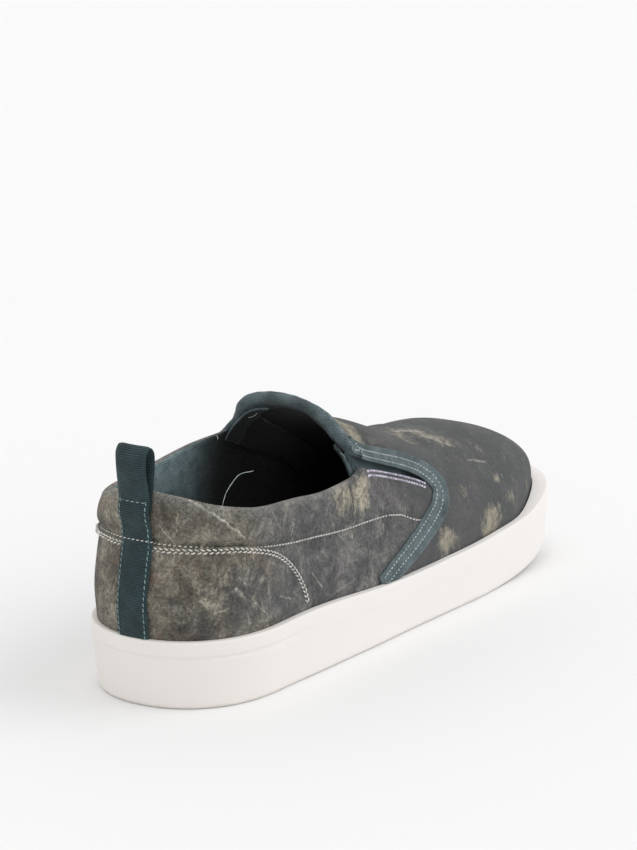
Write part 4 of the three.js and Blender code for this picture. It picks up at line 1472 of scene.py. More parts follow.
def relief(last: Last, outer: Array, groove: float = 0.8, reach: float = 1.7) -> Array:
    """Height of the seam groove, puckers and creases over the upper's plain outer face.

    Args:
        last: the last.
        outer: points of the face.
        groove: depth of the collar's seam.
        reach: half width of the groove.

    Returns:
        A height for each point.
    """
    turn = round_heel(200)
    seam, _ = last.outer_at(np.radians(turn), Through(COLLAR_SEAM, "height")(np.abs(turn)))
    x, y, z = outer[..., 0], outer[..., 1], outer[..., 2]
    near, along = np.full(x.shape, 1e9), np.zeros(x.shape)
    for k, point in enumerate(seam):
        away = length_of(outer - point)
        near, along = np.minimum(near, away), np.where(away < near, k, along)
    total = -groove * np.exp(-((near / reach) ** 2))
    total = total + 0.2 * np.sin(along * 1.9) * np.exp(-(((near - 3.5) / 3.0) ** 2))
    total = total + 0.35 * np.sin(x / 17 + y / 23 + 0.7) * np.sin(z / 13 + x / 31) * ease((x - 60) / 60)
    for row in CREASES:
        away = outer - np.array([row["x"], row["y"], row["z"]])
        way = unit(np.array([row["dx"], row["dy"], row["dz"]]))
        length = away @ way
        aside = length_of(away - length[..., None] * way)
        fade = np.exp(-((length / row["length"]) ** 2)) * np.exp(-((aside / row["width"]) ** 2))
        total = total + row["depth"] * fade
    return total


def seam_line(last: Last, count: int, lift: float, drop: float) -> Pair:
    """The collar's row of stitches round the heel, on the upper's outer face.

    Args:
        last: the last.
        count: how many points each side has.
        lift: distance off the face.
        drop: how far the row lies below the seam.

    Returns:
        Points and outward directions.
    """
    turn = np.delete(round_heel(count), count)
    outer, normal = last.outer_at(np.radians(turn), Through(COLLAR_SEAM, "height")(np.abs(turn)) - drop)
    return outer + normal * (relief(last, outer) + lift)[:, None], normal


def painted_shade_inside(points: Array, top: Array) -> Array:
    """Painted shade of the lining, darker by its depth under the topline and its distance from the heel.

    Args:
        points: places in the shoe.
        top: heights of the topline over them.

    Returns:
        Shares from 0 to 1.
    """
    dark_under, dark_from, darkest = 10, 78, 0.985
    down = ease((top - dark_under - points[:, 2]) / 40)
    forward = ease((points[:, 0] - dark_from) / 34)
    return np.clip(1 - (1 - down) * (1 - forward), 0, darkest)


def dress_canvas(piece: Piece, shop: Workshop) -> None:
    """Stores a canvas piece's own coordinates, the shares of each tone, its painted highlight and its painted
    shade inside.

    Args:
        piece: the piece.
        shop: the workshop.
    """
    last, s = shop.last, shop.last.sizes
    co, vertex, face = corner_data(piece)
    points = shop.place.shoe(co)
    x, _, z = points.T
    azimuth = np.degrees(last.turn_of(points))
    ring = last.stations(400)
    turn = np.unwrap(last.turn_of(ring))
    run = lengths_along(ring[:, :2])
    corner = points[vertex]
    centre = np.zeros((len(piece.data.polygons), 3))
    np.add.at(centre, face, corner)
    centre /= np.bincount(face)[:, None]
    middle_turn = turn[0] + np.mod(last.turn_of(centre) - turn[0], 2 * np.pi)
    corner_turn = np.mod(last.turn_of(corner) - middle_turn[face] + np.pi, 2 * np.pi) - np.pi
    corner_turn = middle_turn[face] + corner_turn
    order = np.argsort(turn)
    wrapped = np.interp(corner_turn, turn[order], run[order])
    drop = last.ridge(last.share(corner[:, 0])) * s.instep_height - corner[:, 2]
    spread = np.sign(corner[:, 1]) * (np.abs(corner[:, 1]) + 0.8 * np.maximum(drop, 0))
    front = (centre[:, 0] > 187 - 0.9 * np.abs(centre[:, 2] - 52))[face]
    u = np.where(front, spread, wrapped)
    v = np.where(front, corner[:, 0], corner[:, 2])
    set_map(piece, np.stack([u, v], -1))
    set_attribute(piece, "khaki", np.clip(1.05 - x / 76, 0, 1) * 0.85 + 0.1 * ease((130 - x) / 40))
    patch = np.zeros(len(points))
    for row in PATCHES:
        away = length_of(points - (row["x"], row["y"], row["z"]))
        patch = np.maximum(patch, row["strength"] * np.clip(1 - (away / (1.5 * row["reach"])) ** 2, 0, 1))
    set_attribute(piece, "patch", patch * 0.78)
    set_attribute(piece, "calm", ease((x - 125) / 45))
    top = last.topline(azimuth) * s.heel_height
    # Painted highlight: a pale band along the top of the padded collar and a pale line along the crease ridge
    collar = np.exp(-(((z - top - 1.5) / 2.2) ** 2)) * (np.abs(azimuth) > 40)
    crease = CREASES[0]
    away = points - (crease["x"], crease["y"], crease["z"])
    way = unit(np.array([crease["dx"], crease["dy"], crease["dz"]]))
    length = away @ way
    aside = length_of(away - length[:, None] * way)
    line = np.exp(-((aside / 1.0) ** 2)) * (np.abs(length) < 30)
    set_attribute(piece, "wear", collar * 0.8 + line * 1.2)
    # Painted shade: the lining darkens with depth under the topline and towards the toe
    set_attribute(piece, "deep", painted_shade_inside(points, top))
    set_attribute(piece, "fold", np.zeros(len(points)))


@dataclass
class CupSole:
    """The moulded cup with its side line and cross grooves."""

    shop: Workshop
    around: int = 200

    def ring(self, distance: Callable[[Array], Array], height: Callable[[Array, Array], Array]) -> Array:
        """The base line moved outwards and set at a height.

        Args:
            distance: how far it moves, at lengths along the shoe.
            height: its height, at lengths and rim heights.

        Returns:
            The points in order round the plan.
        """
        feet = self.shop.last.stations(self.around)
        ring = feet + level_normals(feet) * np.broadcast_to(distance(feet[:, 0]), len(feet))[:, None]
        ring[:, 2] = height(ring[:, 0], feet[:, 2])
        return ring

    def build(self) -> Piece:
        """Makes the cup.

        Returns:
            The piece.
        """
        last, s = self.shop.last, self.shop.last.sizes
        inset = last.inset
        foot = lambda x: inset(x) - last.undercut(last.share(x))
        fade = lambda x: np.clip((s.side_line_end - last.share(x)) / s.side_line_fade, 0, 1)
        rings = [
            self.ring(lambda x: 0 * x + s.fit, lambda x, rim: last.cup(x)),
            self.ring(lambda x: 0 * x + s.fit, lambda x, rim: rim - 0.4),
            self.ring(lambda x: 0 * x + s.fit + 0.25, lambda x, rim: rim),
        ]
        for angle in np.radians([0, 22.5, 45, 67.5, 90]):
            inwards = s.rim_radius * (1 - math.sin(angle))
            down = s.rim_radius * (1 - math.cos(angle))
            rings.append(self.ring(lambda x, i=inwards: inset(x) - i, lambda x, rim, d=down: rim - d))
        drop, depth = s.side_line_drop, s.side_line_depth
        for share, below in ((0, 1.8), (0, 3.4), (0, drop - 0.5), (0.12, drop), (0.6, drop + 0.35 * depth),
                             (1, drop + depth), (1, drop + 1.6 * depth), (1, drop + 2 * depth)):
            reach = lambda x, k=share: inset(x) - k * (depth * fade(x))
            rings.append(self.ring(reach, lambda x, rim, b=below: rim - b))
        start = drop + 3 * depth
        for t in np.linspace(0, 1, 9):
            reach = lambda x, k=t: blend(blend(inset(x), foot(x), s.side_fullness), foot(x), k)
            level = lambda x, rim, k=t: blend(rim - start, last.spring(x) + s.bottom_edge_radius, k)
            rings.append(self.ring(reach, level))
        for angle in np.radians([30, 60, 90]):
            inwards = s.bottom_edge_radius * (1 - math.cos(angle))
            up = s.bottom_edge_radius * (1 - math.sin(angle))
            rings.append(self.ring(lambda x, i=inwards: foot(x) - i, lambda x, rim, u=up: last.spring(x) + u))
        mesh = Mesh()
        numbers = mesh.add(np.array(rings))
        mesh.quads(numbers, closed=True)
        mesh.across(numbers[0], last.cup)
        mesh.across(numbers[-1], last.spring)
        piece = self.shop.make("cup_sole", mesh, self.shop.palette.rubber)
        cut(piece, self.grooves())
        smooth(piece, 35)
        points, _ = self.shop.points_of(piece)
        x, _, z = points.T
        # Painted shade: share of grey towards the heel
        set_attribute(piece, "heel", np.clip(1 - x / 120, 0, 1))
        # Share near the bottom edge, where the rubber is made darker
        set_attribute(piece, "foot", np.clip(1 - (z - last.spring(x)) / 5, 0, 1))
        return self.shop.finish_piece(piece, "sole_rubber", "cupsole")

    def grooves(self) -> Piece:
        """Boxes for the tread's cross grooves.

        Returns:
            The cutter.
        """
        last, s = self.shop.last, self.shop.last.sizes
        mesh = Mesh()
        for row in TREAD:
            for i in range(int(row["count"])):
                x = blend(row["from"], row["to"], i / (row["count"] - 1)) * s.sole_length
                ends = round_end(x, s.heel_rounding, END_POWERS["heel"])
                ends = ends * round_end(s.sole_length - x, s.toe_rounding, END_POWERS["toe_inner"])
                half = float(last.plan_half(x / s.sole_length) * s.ball_width * ends) - s.tread_border
                middle = float(last.plan_middle(x / s.sole_length)) * s.ball_width
                slope = float(last.spring(x + 1) - last.spring(x - 1)) / 2
                along = unit(np.array([1, 0, slope])) * s.tread_width / 2
                up = unit(np.array([-slope, 0, 1])) * s.tread_depth
                centre = np.array([x, middle, float(last.spring(x))])
                ends_at = [centre + np.array([0, way * half, 0]) for way in (-1, 1)]
                high = np.array([[at - along + up, at + along + up] for at in ends_at])
                low = np.array([[at - along - up, at + along - up] for at in ends_at])
                mesh.slab(high, low)
        return self.shop.make("tread_knife", mesh, self.shop.palette.rubber)


@dataclass
class Footbed:
    """The loose footbed in the cup."""

    shop: Workshop
    around: int = 120

    def build(self) -> Piece:
        """Makes the footbed.

        Returns:
            The piece.
        """
        last, s = self.shop.last, self.shop.last.sizes
        feet = last.stations(self.around)
        out = level_normals(feet)
        mesh = Mesh()
        rings = []
        for inwards, up in ((0, 0), (0, s.insole_thickness - s.insole_bevel), (0.3, s.insole_thickness - 0.3),
                            (s.insole_bevel, s.insole_thickness)):
            ring = feet - out * (s.wall + s.fit + inwards)
            ring[:, 2] = last.cup(ring[:, 0]) + s.fit + up
            rings.append(ring)
        numbers = mesh.add(np.array(rings))
        mesh.quads(numbers, closed=True)
        mesh.across(numbers[0], lambda x: last.cup(x) + s.fit)
        mesh.across(numbers[-1], lambda x: last.cup(x) + s.fit + s.insole_thickness)
        piece = self.shop.make("footbed", mesh, self.shop.palette.lining)
        points, vertex = self.shop.points_of(piece)
        set_map(piece, points[vertex][:, :2])
        # Painted shade: the footbed is darkened to a tenth of its colour
        set_attribute(piece, "deep", np.full(len(points), 0.9))
        return self.shop.finish_piece(piece, "footbed", "insole")


@dataclass
class HeelPatch:
    """The canvas patch round the heel."""

    shop: Workshop
    columns: int = 130
    rows: int = 26
    share: float = 0.55
    edge_rounding: float = 1.2

    def directions(self) -> tuple[Array, Array, Array]:
        """Edges of the patch round the heel.

        Returns:
            Azimuths, bottom heights and top heights.
        """
        last, s = self.shop.last, self.shop.last.sizes
        feet = last.stations(self.columns * 2)
        count = len(feet) // 2
        outer = feet[: count + 1]
        outer = outer[outer[:, 0] <= s.counter_length][::-1]
        inner = feet[count + 1 :]
        inner = inner[inner[:, 0] <= s.counter_length][::-1]
        ring = np.vstack([outer, inner])
        bottom = ring[:, 2] + s.fit
        share = (ring[:, 0] - last.heel) / (s.counter_length - last.heel)
        top = blend(bottom, s.counter_height, Through(COUNTER, "height")(share))
        return last.turn_of(ring), bottom, top

    def build(self) -> Piece:
        """Makes the patch.

        Returns:
            The piece.
        """
        last, s = self.shop.last, self.shop.last.sizes
        azimuth, bottom, top = self.directions()
        t = np.linspace(0, 1, self.rows + 1)
        heights = blend(bottom[:, None], top[:, None], t[None])
        turned = np.broadcast_to(azimuth[:, None], heights.shape)
        outer, normal = last.outer_at(turned, heights)
        edge = np.minimum((top[:, None] - heights) / self.edge_rounding, 1)
        ends = np.minimum(np.arange(len(azimuth)), np.arange(len(azimuth))[::-1])[:, None] / 3
        full = np.sqrt(np.clip(1 - (1 - np.minimum(edge, ends)) ** 2, 0.06, 1))
        mesh = Mesh()
        high = outer + normal * (s.fit + self.share * s.counter_thickness * full)[..., None]
        mesh.slab(high, outer + normal * s.fit * 0.6)
        piece = self.shop.make("heel_patch", mesh, self.shop.palette.canvas)
        dress_canvas(piece, self.shop)
        return self.shop.finish_piece(piece, "canvas", "heel_counter")


def tube(path: Array, radius: Array, sides: int) -> Array:
    """Rings of a round bar along a path.

    Args:
        path: its middle line.
        radius: its radius at each point.
        sides: points of each ring.

    Returns:
        The rings.
    """
    along = unit(np.gradient(path, axis=0))
    aside = unit(np.cross(along, np.array([0.05, 0.02, 1.0])))
    above = np.cross(aside, along)
    angle = np.linspace(0, 2 * np.pi, sides, endpoint=False)[None, :, None]
    circle = aside[:, None] * np.cos(angle) + above[:, None] * np.sin(angle)
    return path[:, None] + circle * np.reshape(radius, (-1, 1, 1))


@dataclass
class TabRoll:
    """The soft bound roll along the edge of the tab, which closes the slots at their tops."""

    shop: Workshop
    steps: int = 150
    sides: int = 24
    inwards: float = 0.9

    def build(self) -> Piece:
        """Makes the roll.

        Returns:
            The piece.
        """
        last, s = self.shop.last, self.shop.last.sizes
        turn = np.radians([row["at"] for row in ROLL])
        height = np.array([row["height"] for row in ROLL]) * s.heel_height
        elevation = last.at_height(turn, height)
        base = last.ray(turn, elevation) - last.normal(turn, elevation) * self.inwards
        radius = np.array([row["radius"] for row in ROLL])
        line = spline(np.column_stack([base, radius]), self.steps)
        t = np.linspace(0, 1, self.steps)
        ends = np.sqrt(np.clip(1 - (1 - np.minimum(t, 1 - t) / 0.02), 0.05, 1))
        thick = line[:, 3] * np.minimum(ends, 1) + 0.05 * np.sin(np.arange(self.steps) * 0.7)
        mesh = Mesh()
        mesh.bar(tube(line[:, :3], thick, self.sides))
        piece = self.shop.make("tab_roll", mesh, self.shop.palette.binding)
        points, vertex = self.shop.points_of(piece)
        set_map(piece, points[vertex][:, [1, 2]])
        set_attribute(piece, "fold", np.zeros(len(points)))
        return self.shop.finish_piece(piece, "tape")


@dataclass
class LooseThreads:
    """A few fine threads that stand off the seams."""

    shop: Workshop
    radius: float = 0.11

    def build(self) -> Piece:
        """Makes the threads.

        Returns:
            The piece.
        """
        mesh = Mesh()
        for guide in LOOSE_THREADS:
            path = spline(np.array(guide, float), 24)
            mesh.bar(tube(path, np.full(len(path), self.radius), 5))
        piece = self.shop.make("loose_threads", mesh, self.shop.palette.pale_thread)
        return self.shop.finish_piece(piece, "canvas")


@dataclass
class SideTape:
    """The tape along the back edge of the vamp on one side, with its thick rolled edge."""

    shop: Workshop
    side: Side
    steps: int = 150
    columns: int = 18
    sheet: float = 0.55
    roll: float = 1.15
    roll_at: float = -0.36
    roll_width: float = 0.13
    stitch_places: tuple[float, float] = (-0.06, 0.34)

    def surface(self) -> tuple[Array, Array, Array]:
        """The upper's face under the tape.

        Returns:
            Points, their outward directions and their places across the tape, -0.5 to 0.5.
        """
        last, s = self.shop.last, self.shop.last.sizes
        rows = []
        for row in TAPE:
            lift = s.inner_side_rise * row["rise"] if self.side is Side.INNER else 0
            height = row["height"] * s.heel_height + lift
            rows.append((row["at"] * s.sole_length, row["width"] * s.tape_width, height))
        path = spline(np.array(rows), self.steps)
        azimuth, elevation = last.on_side(path[:, 0], path[:, 2], self.side)
        _, outer, _, normal = last.face(azimuth, elevation)
        along = unit(np.gradient(outer, axis=0))
        aside = unit(np.cross(along, normal))
        foot = last.rim(outer[-1, 0]) + s.fit
        more = (outer[-1, 2] - foot) / max(-along[-1, 2], 0.2) + 3
        tail = np.linspace(0, 1, 40)[1:, None]
        outer = np.vstack([outer, outer[-1] + along[-1] * more * tail])
        aside = np.vstack([aside, np.repeat(aside[-1:], len(tail), axis=0)])
        width = np.concatenate([path[:, 1], np.full(len(tail), path[-1, 1])])
        across = np.linspace(-0.5, 0.5, self.columns + 1)
        grid = outer[:, None] + aside[:, None] * (width[:, None] * across)[..., None]
        azimuth, elevation = last.direction(grid)
        floor = last.at_height(azimuth, last.rim(grid[..., 0]) + s.fit)
        _, face, _, normal = last.face(azimuth, np.maximum(elevation, floor))
        face = face + normal * (relief(last, face, 0.4) * 0.9)[..., None]
        return face, normal, np.broadcast_to(across, face.shape[:2])

    def build(self) -> Piece:
        """Makes the tape.

        Returns:
            The piece.
        """
        s = self.shop.last.sizes
        face, normal, across = self.surface()
        quarter = across if self.side is Side.OUTER else -across
        inner_edge = np.exp(-(((quarter - self.roll_at) / self.roll_width) ** 2))
        ends = np.sqrt(np.clip(1 - (2 * np.abs(across)) ** 8, 0.05, 1))
        ends = ends * np.clip(0.4 + np.arange(len(face)) / 10, 0.1, 1)[:, None]
        pucker = 0.10 * np.sin(np.arange(len(face)) * 0.9)[:, None] * np.exp(-(((quarter - 0.1) / 0.3) ** 2))
        high = s.tape_setback + (self.sheet + self.roll * inner_edge + pucker) * ends + 0.12
        mesh = Mesh()
        mesh.slab(face + normal * high[..., None], face + normal * s.tape_setback * 0.5)
        name = f"vamp_tape_{self.side.name.lower()}"
        piece = self.shop.make(name, mesh, self.shop.palette.binding)
        self.dress(piece, face)
        return self.shop.finish_piece(piece, "tape", "vamp_tape_" + self.side.word)

    def dress(self, piece: Piece, face: Array) -> None:
        """Stores the tape's own coordinates and the painted shadow along its rolled edge.

        Args:
            piece: the tape.
            face: points of the upper under it.
        """
        points, vertex = self.shop.points_of(piece)
        flat = face.reshape(-1, 3)
        run = lengths_along(face[:, self.columns // 2])
        nearest = np.array([np.argmin(((flat - point) ** 2).sum(1)) for point in points])
        row, column = nearest // face.shape[1], nearest % face.shape[1]
        place = np.stack([column * 0.6, run[row]], -1)
        set_map(piece, place[vertex])
        quarter = column / self.columns if self.side is Side.OUTER else 1 - column / self.columns
        # Painted shadow: the tape's rolled edge beside the quarter is darkened
        set_attribute(piece, "fold", np.clip(1.3 - quarter / 0.07, 0, 1) * 0.85)

    def rows(self) -> list[Pair]:
        """The two rows of stitches.

        Returns:
            Points and outward directions of each row.
        """
        lift = self.shop.last.sizes.tape_setback + 0.75
        face, normal, _ = self.surface()
        lines = []
        for place in self.stitch_places:
            wanted = place if self.side is Side.OUTER else -place
            column = int(round((wanted + 0.5) * self.columns))
            line, out = face[4:-3, column], normal[4:-3, column]
            lines.append((line + out * lift, out))
        return lines


@dataclass
class ElasticGore:
    """The elastic panel behind the slot on one side."""

    shop: Workshop
    side: Side

    @property
    def start(self) -> tuple[float, float]:
        """Shares of the slot's low and high edge at which the panel starts."""
        return (0.15, 0.24) if self.side is Side.OUTER else (0.03, 0.12)

    def build(self) -> Piece:
        """Makes the panel.

        Returns:
            The piece.
        """
        last, s = self.shop.last, self.shop.last.sizes
        azimuth, elevation = across_slot(last, self.side, self.start, s.gore_overlap, 60, 20)
        _, _, inner, normal = last.face(azimuth, elevation)
        mesh = Mesh()
        high = inner - normal * s.inside_setback
        low = high - normal * s.gore_thickness
        mesh.slab(high, low)
        name = f"elastic_{self.side.name.lower()}"
        piece = self.shop.make(name, mesh, self.shop.palette.elastic)
        points, vertex = self.shop.points_of(piece)
        set_map(piece, np.stack([points[vertex][:, 2], points[vertex][:, 0]], -1))
        near = [
            np.array([((sheet.reshape(-1, 3) - point) ** 2).sum(1).min() for point in points])
            for sheet in (high, low)
        ]
        # Painted shade: the panel's inward sheet is darkened nearly to black
        set_attribute(piece, "deep", np.where(near[1] < near[0], 0.96, 0.0))
        return self.shop.finish_piece(piece, "elastic", "gore_" + self.side.word)


@dataclass
class PullWebbing:
    """The ribbed webbing up the back seam with its loop."""

    shop: Workshop
    rib: float = 0.95
    rib_height: float = 0.11
    strip: float = 118
    skin: float = 0.12
    columns: int = 12
    steps_per_rib: int = 4

    def surface(self) -> Pair:
        """The webbing's middle surface, a row for each step along it.

        Returns:
            Its points and their outward directions.
        """
        last, s = self.shop.last, self.shop.last.sizes
        seam = s.heel_height - s.loop_seam_drop
        tail_end = seam - s.loop_tail_length
        middle = s.fit + s.webbing_thickness / 2
        layer = s.webbing_thickness + s.fit
        rise = s.heel_height + s.loop_height - seam
        bottom = float(last.rim(last.heel)) + s.fit
        lines = []
        for y in s.webbing_width * (np.arange(self.columns + 1) / self.columns - 0.5):
            azimuth = np.full(120, math.atan2(y, last.heel - last.heart[0]))
            height = np.linspace(bottom, seam, 120)
            patch = np.clip((s.counter_height + s.patch_clearance - height) / s.webbing_ease + 1, 0, 1)
            over = np.clip((height + s.tail_clearance - tail_end) / s.webbing_ease + 1, 0, 1)
            lift = middle + (s.fit + s.counter_thickness) * ease(patch) + layer * ease(over)
            outer, normal = last.outer_at(azimuth, height)
            front = outer + normal * lift[:, None]
            outer, normal = last.outer_at(azimuth[:12], np.linspace(seam, tail_end, 12))
            back = outer + normal * middle
            level = (front[-1, 0] + back[0, 0]) / 2
            strands = [
                (level + row["depth"] * (s.loop_depth - s.webbing_thickness), y, seam + rise * row["height"])
                for row in LOOP
            ]
            guide = np.vstack([front[::8], front[-1:], strands, back])
            line = spline(guide, int(self.strip / self.rib) * self.steps_per_rib)
            line[:, 1] = y
            lines.append(line)
        points = np.array(lines).transpose(1, 0, 2)
        along = unit(np.gradient(points, axis=0))
        return points, unit(np.stack([-along[..., 2], 0 * along[..., 0], along[..., 0]], -1))

    def build(self) -> Piece:
        """Makes the webbing.

        Returns:
            The piece.
        """
        s = self.shop.last.sizes
        middle, outward = self.surface()
        across = np.linspace(-1, 1, self.columns + 1)[None]
        step = np.arange(len(middle))[:, None]
        rib = self.rib_height * np.cos(2 * np.pi * step / self.steps_per_rib) * (1 - np.abs(across) ** 8)
        edge = np.sqrt(np.clip(1 - np.abs(across) ** 10, 0.08, 1))
        half = s.webbing_thickness / 2 * edge
        wobble = 0.18 * np.sin(step * 0.055) * np.sign(across) * (np.abs(across) > 0.9)
        middle = middle + np.stack([0 * wobble, wobble, 0 * wobble], -1)
        mesh = Mesh()
        half_layer = outward * (half - self.skin + rib)[..., None]
        mesh.slab(middle + half_layer, middle - half_layer)
        piece = self.shop.make("pull_webbing", mesh, self.shop.palette.webbing)
        points, vertex = self.shop.points_of(piece)
        flat = middle.reshape(-1, 3)
        nearest = np.array([np.argmin(((flat - point) ** 2).sum(1)) for point in points])
        run = nearest // middle.shape[1] * (self.rib / self.steps_per_rib) + self.rib / 4
        set_map(piece, np.stack([points[vertex][:, 1], run[vertex]], -1))
        set_attribute(piece, "fold", np.zeros(len(points)))
        return self.shop.finish_piece(piece, "webbing", "pull_loop")

    @property
    def stitch_lift(self) -> float:
        """Distance of the stitches from the middle surface."""
        return self.shop.last.sizes.webbing_thickness / 2 + 0.02

    def crossing(self, height: float) -> Pair:
        """The line across the webbing where a seam under it shows.

        Args:
            height: the line's height over the floor.

        Returns:
            Its points and their outward directions.
        """
        middle, outward = self.surface()
        row = int(np.argmax(middle[:, self.columns // 2, 2] > height))
        return middle[row] + outward[row] * self.stitch_lift, outward[row]

    def rows(self) -> list[Pair]:
        """The rows along both edges and the bar over the collar.

        Returns:
            Points and outward directions of each row.
        """
        s = self.shop.last.sizes
        middle, outward = self.surface()
        face = middle + outward * self.stitch_lift
        seam_row = int(np.argmax(middle[:, self.columns // 2, 2] > s.heel_height - s.loop_seam_drop))
        lines = [(face[3:seam_row, k], outward[3:seam_row, k]) for k in (1, self.columns - 1)]
        bar = slice(2, self.columns - 1)
        lines.append((face[seam_row, bar], outward[seam_row, bar]))
        return lines


@dataclass
class StitchRun:
    """Rows of stitches, instanced along lines by Geometry Nodes and made a mesh."""

    shop: Workshop
    name: str
    material: Material
    slot: str
    pitch: float = 2.4
    length: float = 1.9
    radius: float = 0.26
    slant: float = 12

    def stitch(self) -> Piece:
        """One bowed stitch with rounded ends.

        Returns:
            Its object, which only serves the tree.
        """
        mesh = Mesh()
        angles = np.linspace(0, 2 * np.pi, 6, endpoint=False)
        rings = []
        for share, thick in ((-1, 0.35), (-0.8, 0.8), (-0.35, 1.0), (0.35, 1.0), (0.8, 0.8), (1, 0.35)):
            centre = np.array([share * self.length / 2, 0, self.radius * (0.75 - 1.1 * share**2)])
            circle = np.stack([0 * angles, np.cos(angles), np.sin(angles)], -1) * self.radius * thick
            rings.append(centre + circle)
        mesh.bar(np.array(rings))
        return make_object(self.name + "_stitch", mesh, Place(np.zeros(3)), [self.material])

    def tree(self, stitch: Piece) -> bpy.types.NodeTree:
        """The node tree that sets a stitch at every pitch along the lines.

        Args:
            stitch: one stitch.

        Returns:
            The tree.
        """
        tree = bpy.data.node_groups.new(self.name, "GeometryNodeTree")
        face = tree.interface
        face.new_socket("Geometry", in_out="INPUT", socket_type="NodeSocketGeometry")
        for label in ("Pitch", "Slant"):
            face.new_socket(label, in_out="INPUT", socket_type="NodeSocketFloat")
        face.new_socket("Geometry", in_out="OUTPUT", socket_type="NodeSocketGeometry")

        def node(kind: str, **settings: Any) -> bpy.types.Node:
            """Adds a node.

            Args:
                kind: the node's type.
                settings: its settings.

            Returns:
                The node.
            """
            made = tree.nodes.new(kind)
            for key, value in settings.items():
                setattr(made, key, value)
            return made

        start, end = node("NodeGroupInput"), node("NodeGroupOutput")
        curve = node("GeometryNodeMeshToCurve")
        even = node("GeometryNodeResampleCurve", mode="LENGTH")
        tangent = node("GeometryNodeInputTangent")
        outward = node("GeometryNodeInputNamedAttribute", data_type="FLOAT_VECTOR")
        outward.inputs["Name"].default_value = "outward"
        rise = node("FunctionNodeAlignRotationToVector", axis="Z")
        run = node("FunctionNodeAlignRotationToVector", axis="X", pivot_axis="Z")
        slant = node("FunctionNodeRotateRotation", rotation_space="LOCAL")
        angle = node("FunctionNodeAxisAngleToRotation")
        angle.inputs["Axis"].default_value = (0, 0, 1)
        single = node("GeometryNodeObjectInfo")
        single.inputs["Object"].default_value = stitch
        place = node("GeometryNodeInstanceOnPoints")
        solid = node("GeometryNodeRealizeInstances")
        paint = node("GeometryNodeSetMaterial")
        paint.inputs["Material"].default_value = self.material
        for source, given, target, taken in (
            (start, "Geometry", curve, "Mesh"), (curve, "Curve", even, "Curve"),
            (start, "Pitch", even, "Length"), (even, "Curve", place, "Points"),
            (single, "Geometry", place, "Instance"),
            (outward, "Attribute", rise, "Vector"), (rise, "Rotation", run, "Rotation"),
            (tangent, "Tangent", run, "Vector"), (run, "Rotation", slant, "Rotation"),
            (start, "Slant", angle, "Angle"), (angle, "Rotation", slant, "Rotate By"),
            (slant, "Rotation", place, "Rotation"), (place, "Instances", solid, "Geometry"),
            (solid, "Geometry", paint, "Geometry"), (paint, "Geometry", end, "Geometry"),
        ):
            tree.links.new(source.outputs[given], target.inputs[taken])
        return tree

    def build(self, lines: Sequence[Pair]) -> Piece:
        """Makes the stitches.

        Args:
            lines: points and outward directions of each row.

        Returns:
            The piece.
        """
        data = bpy.data.meshes.new(self.name)
        points, edges, outward, count = [], [], [], 0
        for line, normal in lines:
            points.append(self.shop.place.metres(line))
            outward.append(normal)
            edges += [(count + k, count + k + 1) for k in range(len(line) - 1)]
            count += len(line)
        data.from_pydata(np.vstack(points).tolist(), edges, [])
        attribute = data.attributes.new("outward", "FLOAT_VECTOR", "POINT")
        attribute.data.foreach_set("vector", np.vstack(outward).astype(np.float32).ravel())
        piece = show(self.name, data)
        stitch = self.stitch()
        modifier = piece.modifiers.new("stitches", "NODES")
        modifier.node_group = self.tree(stitch)
        values = {"Pitch": self.pitch * MM, "Slant": math.radians(self.slant)}
        for item in modifier.node_group.interface.items_tree:
            if item.in_out == "INPUT" and item.name in values:
                modifier[item.identifier] = values[item.name]
        apply_modifiers(piece)
        bpy.data.objects.remove(stitch)
        piece.data.shade_smooth()
        return self.shop.finish_piece(piece, self.slot)


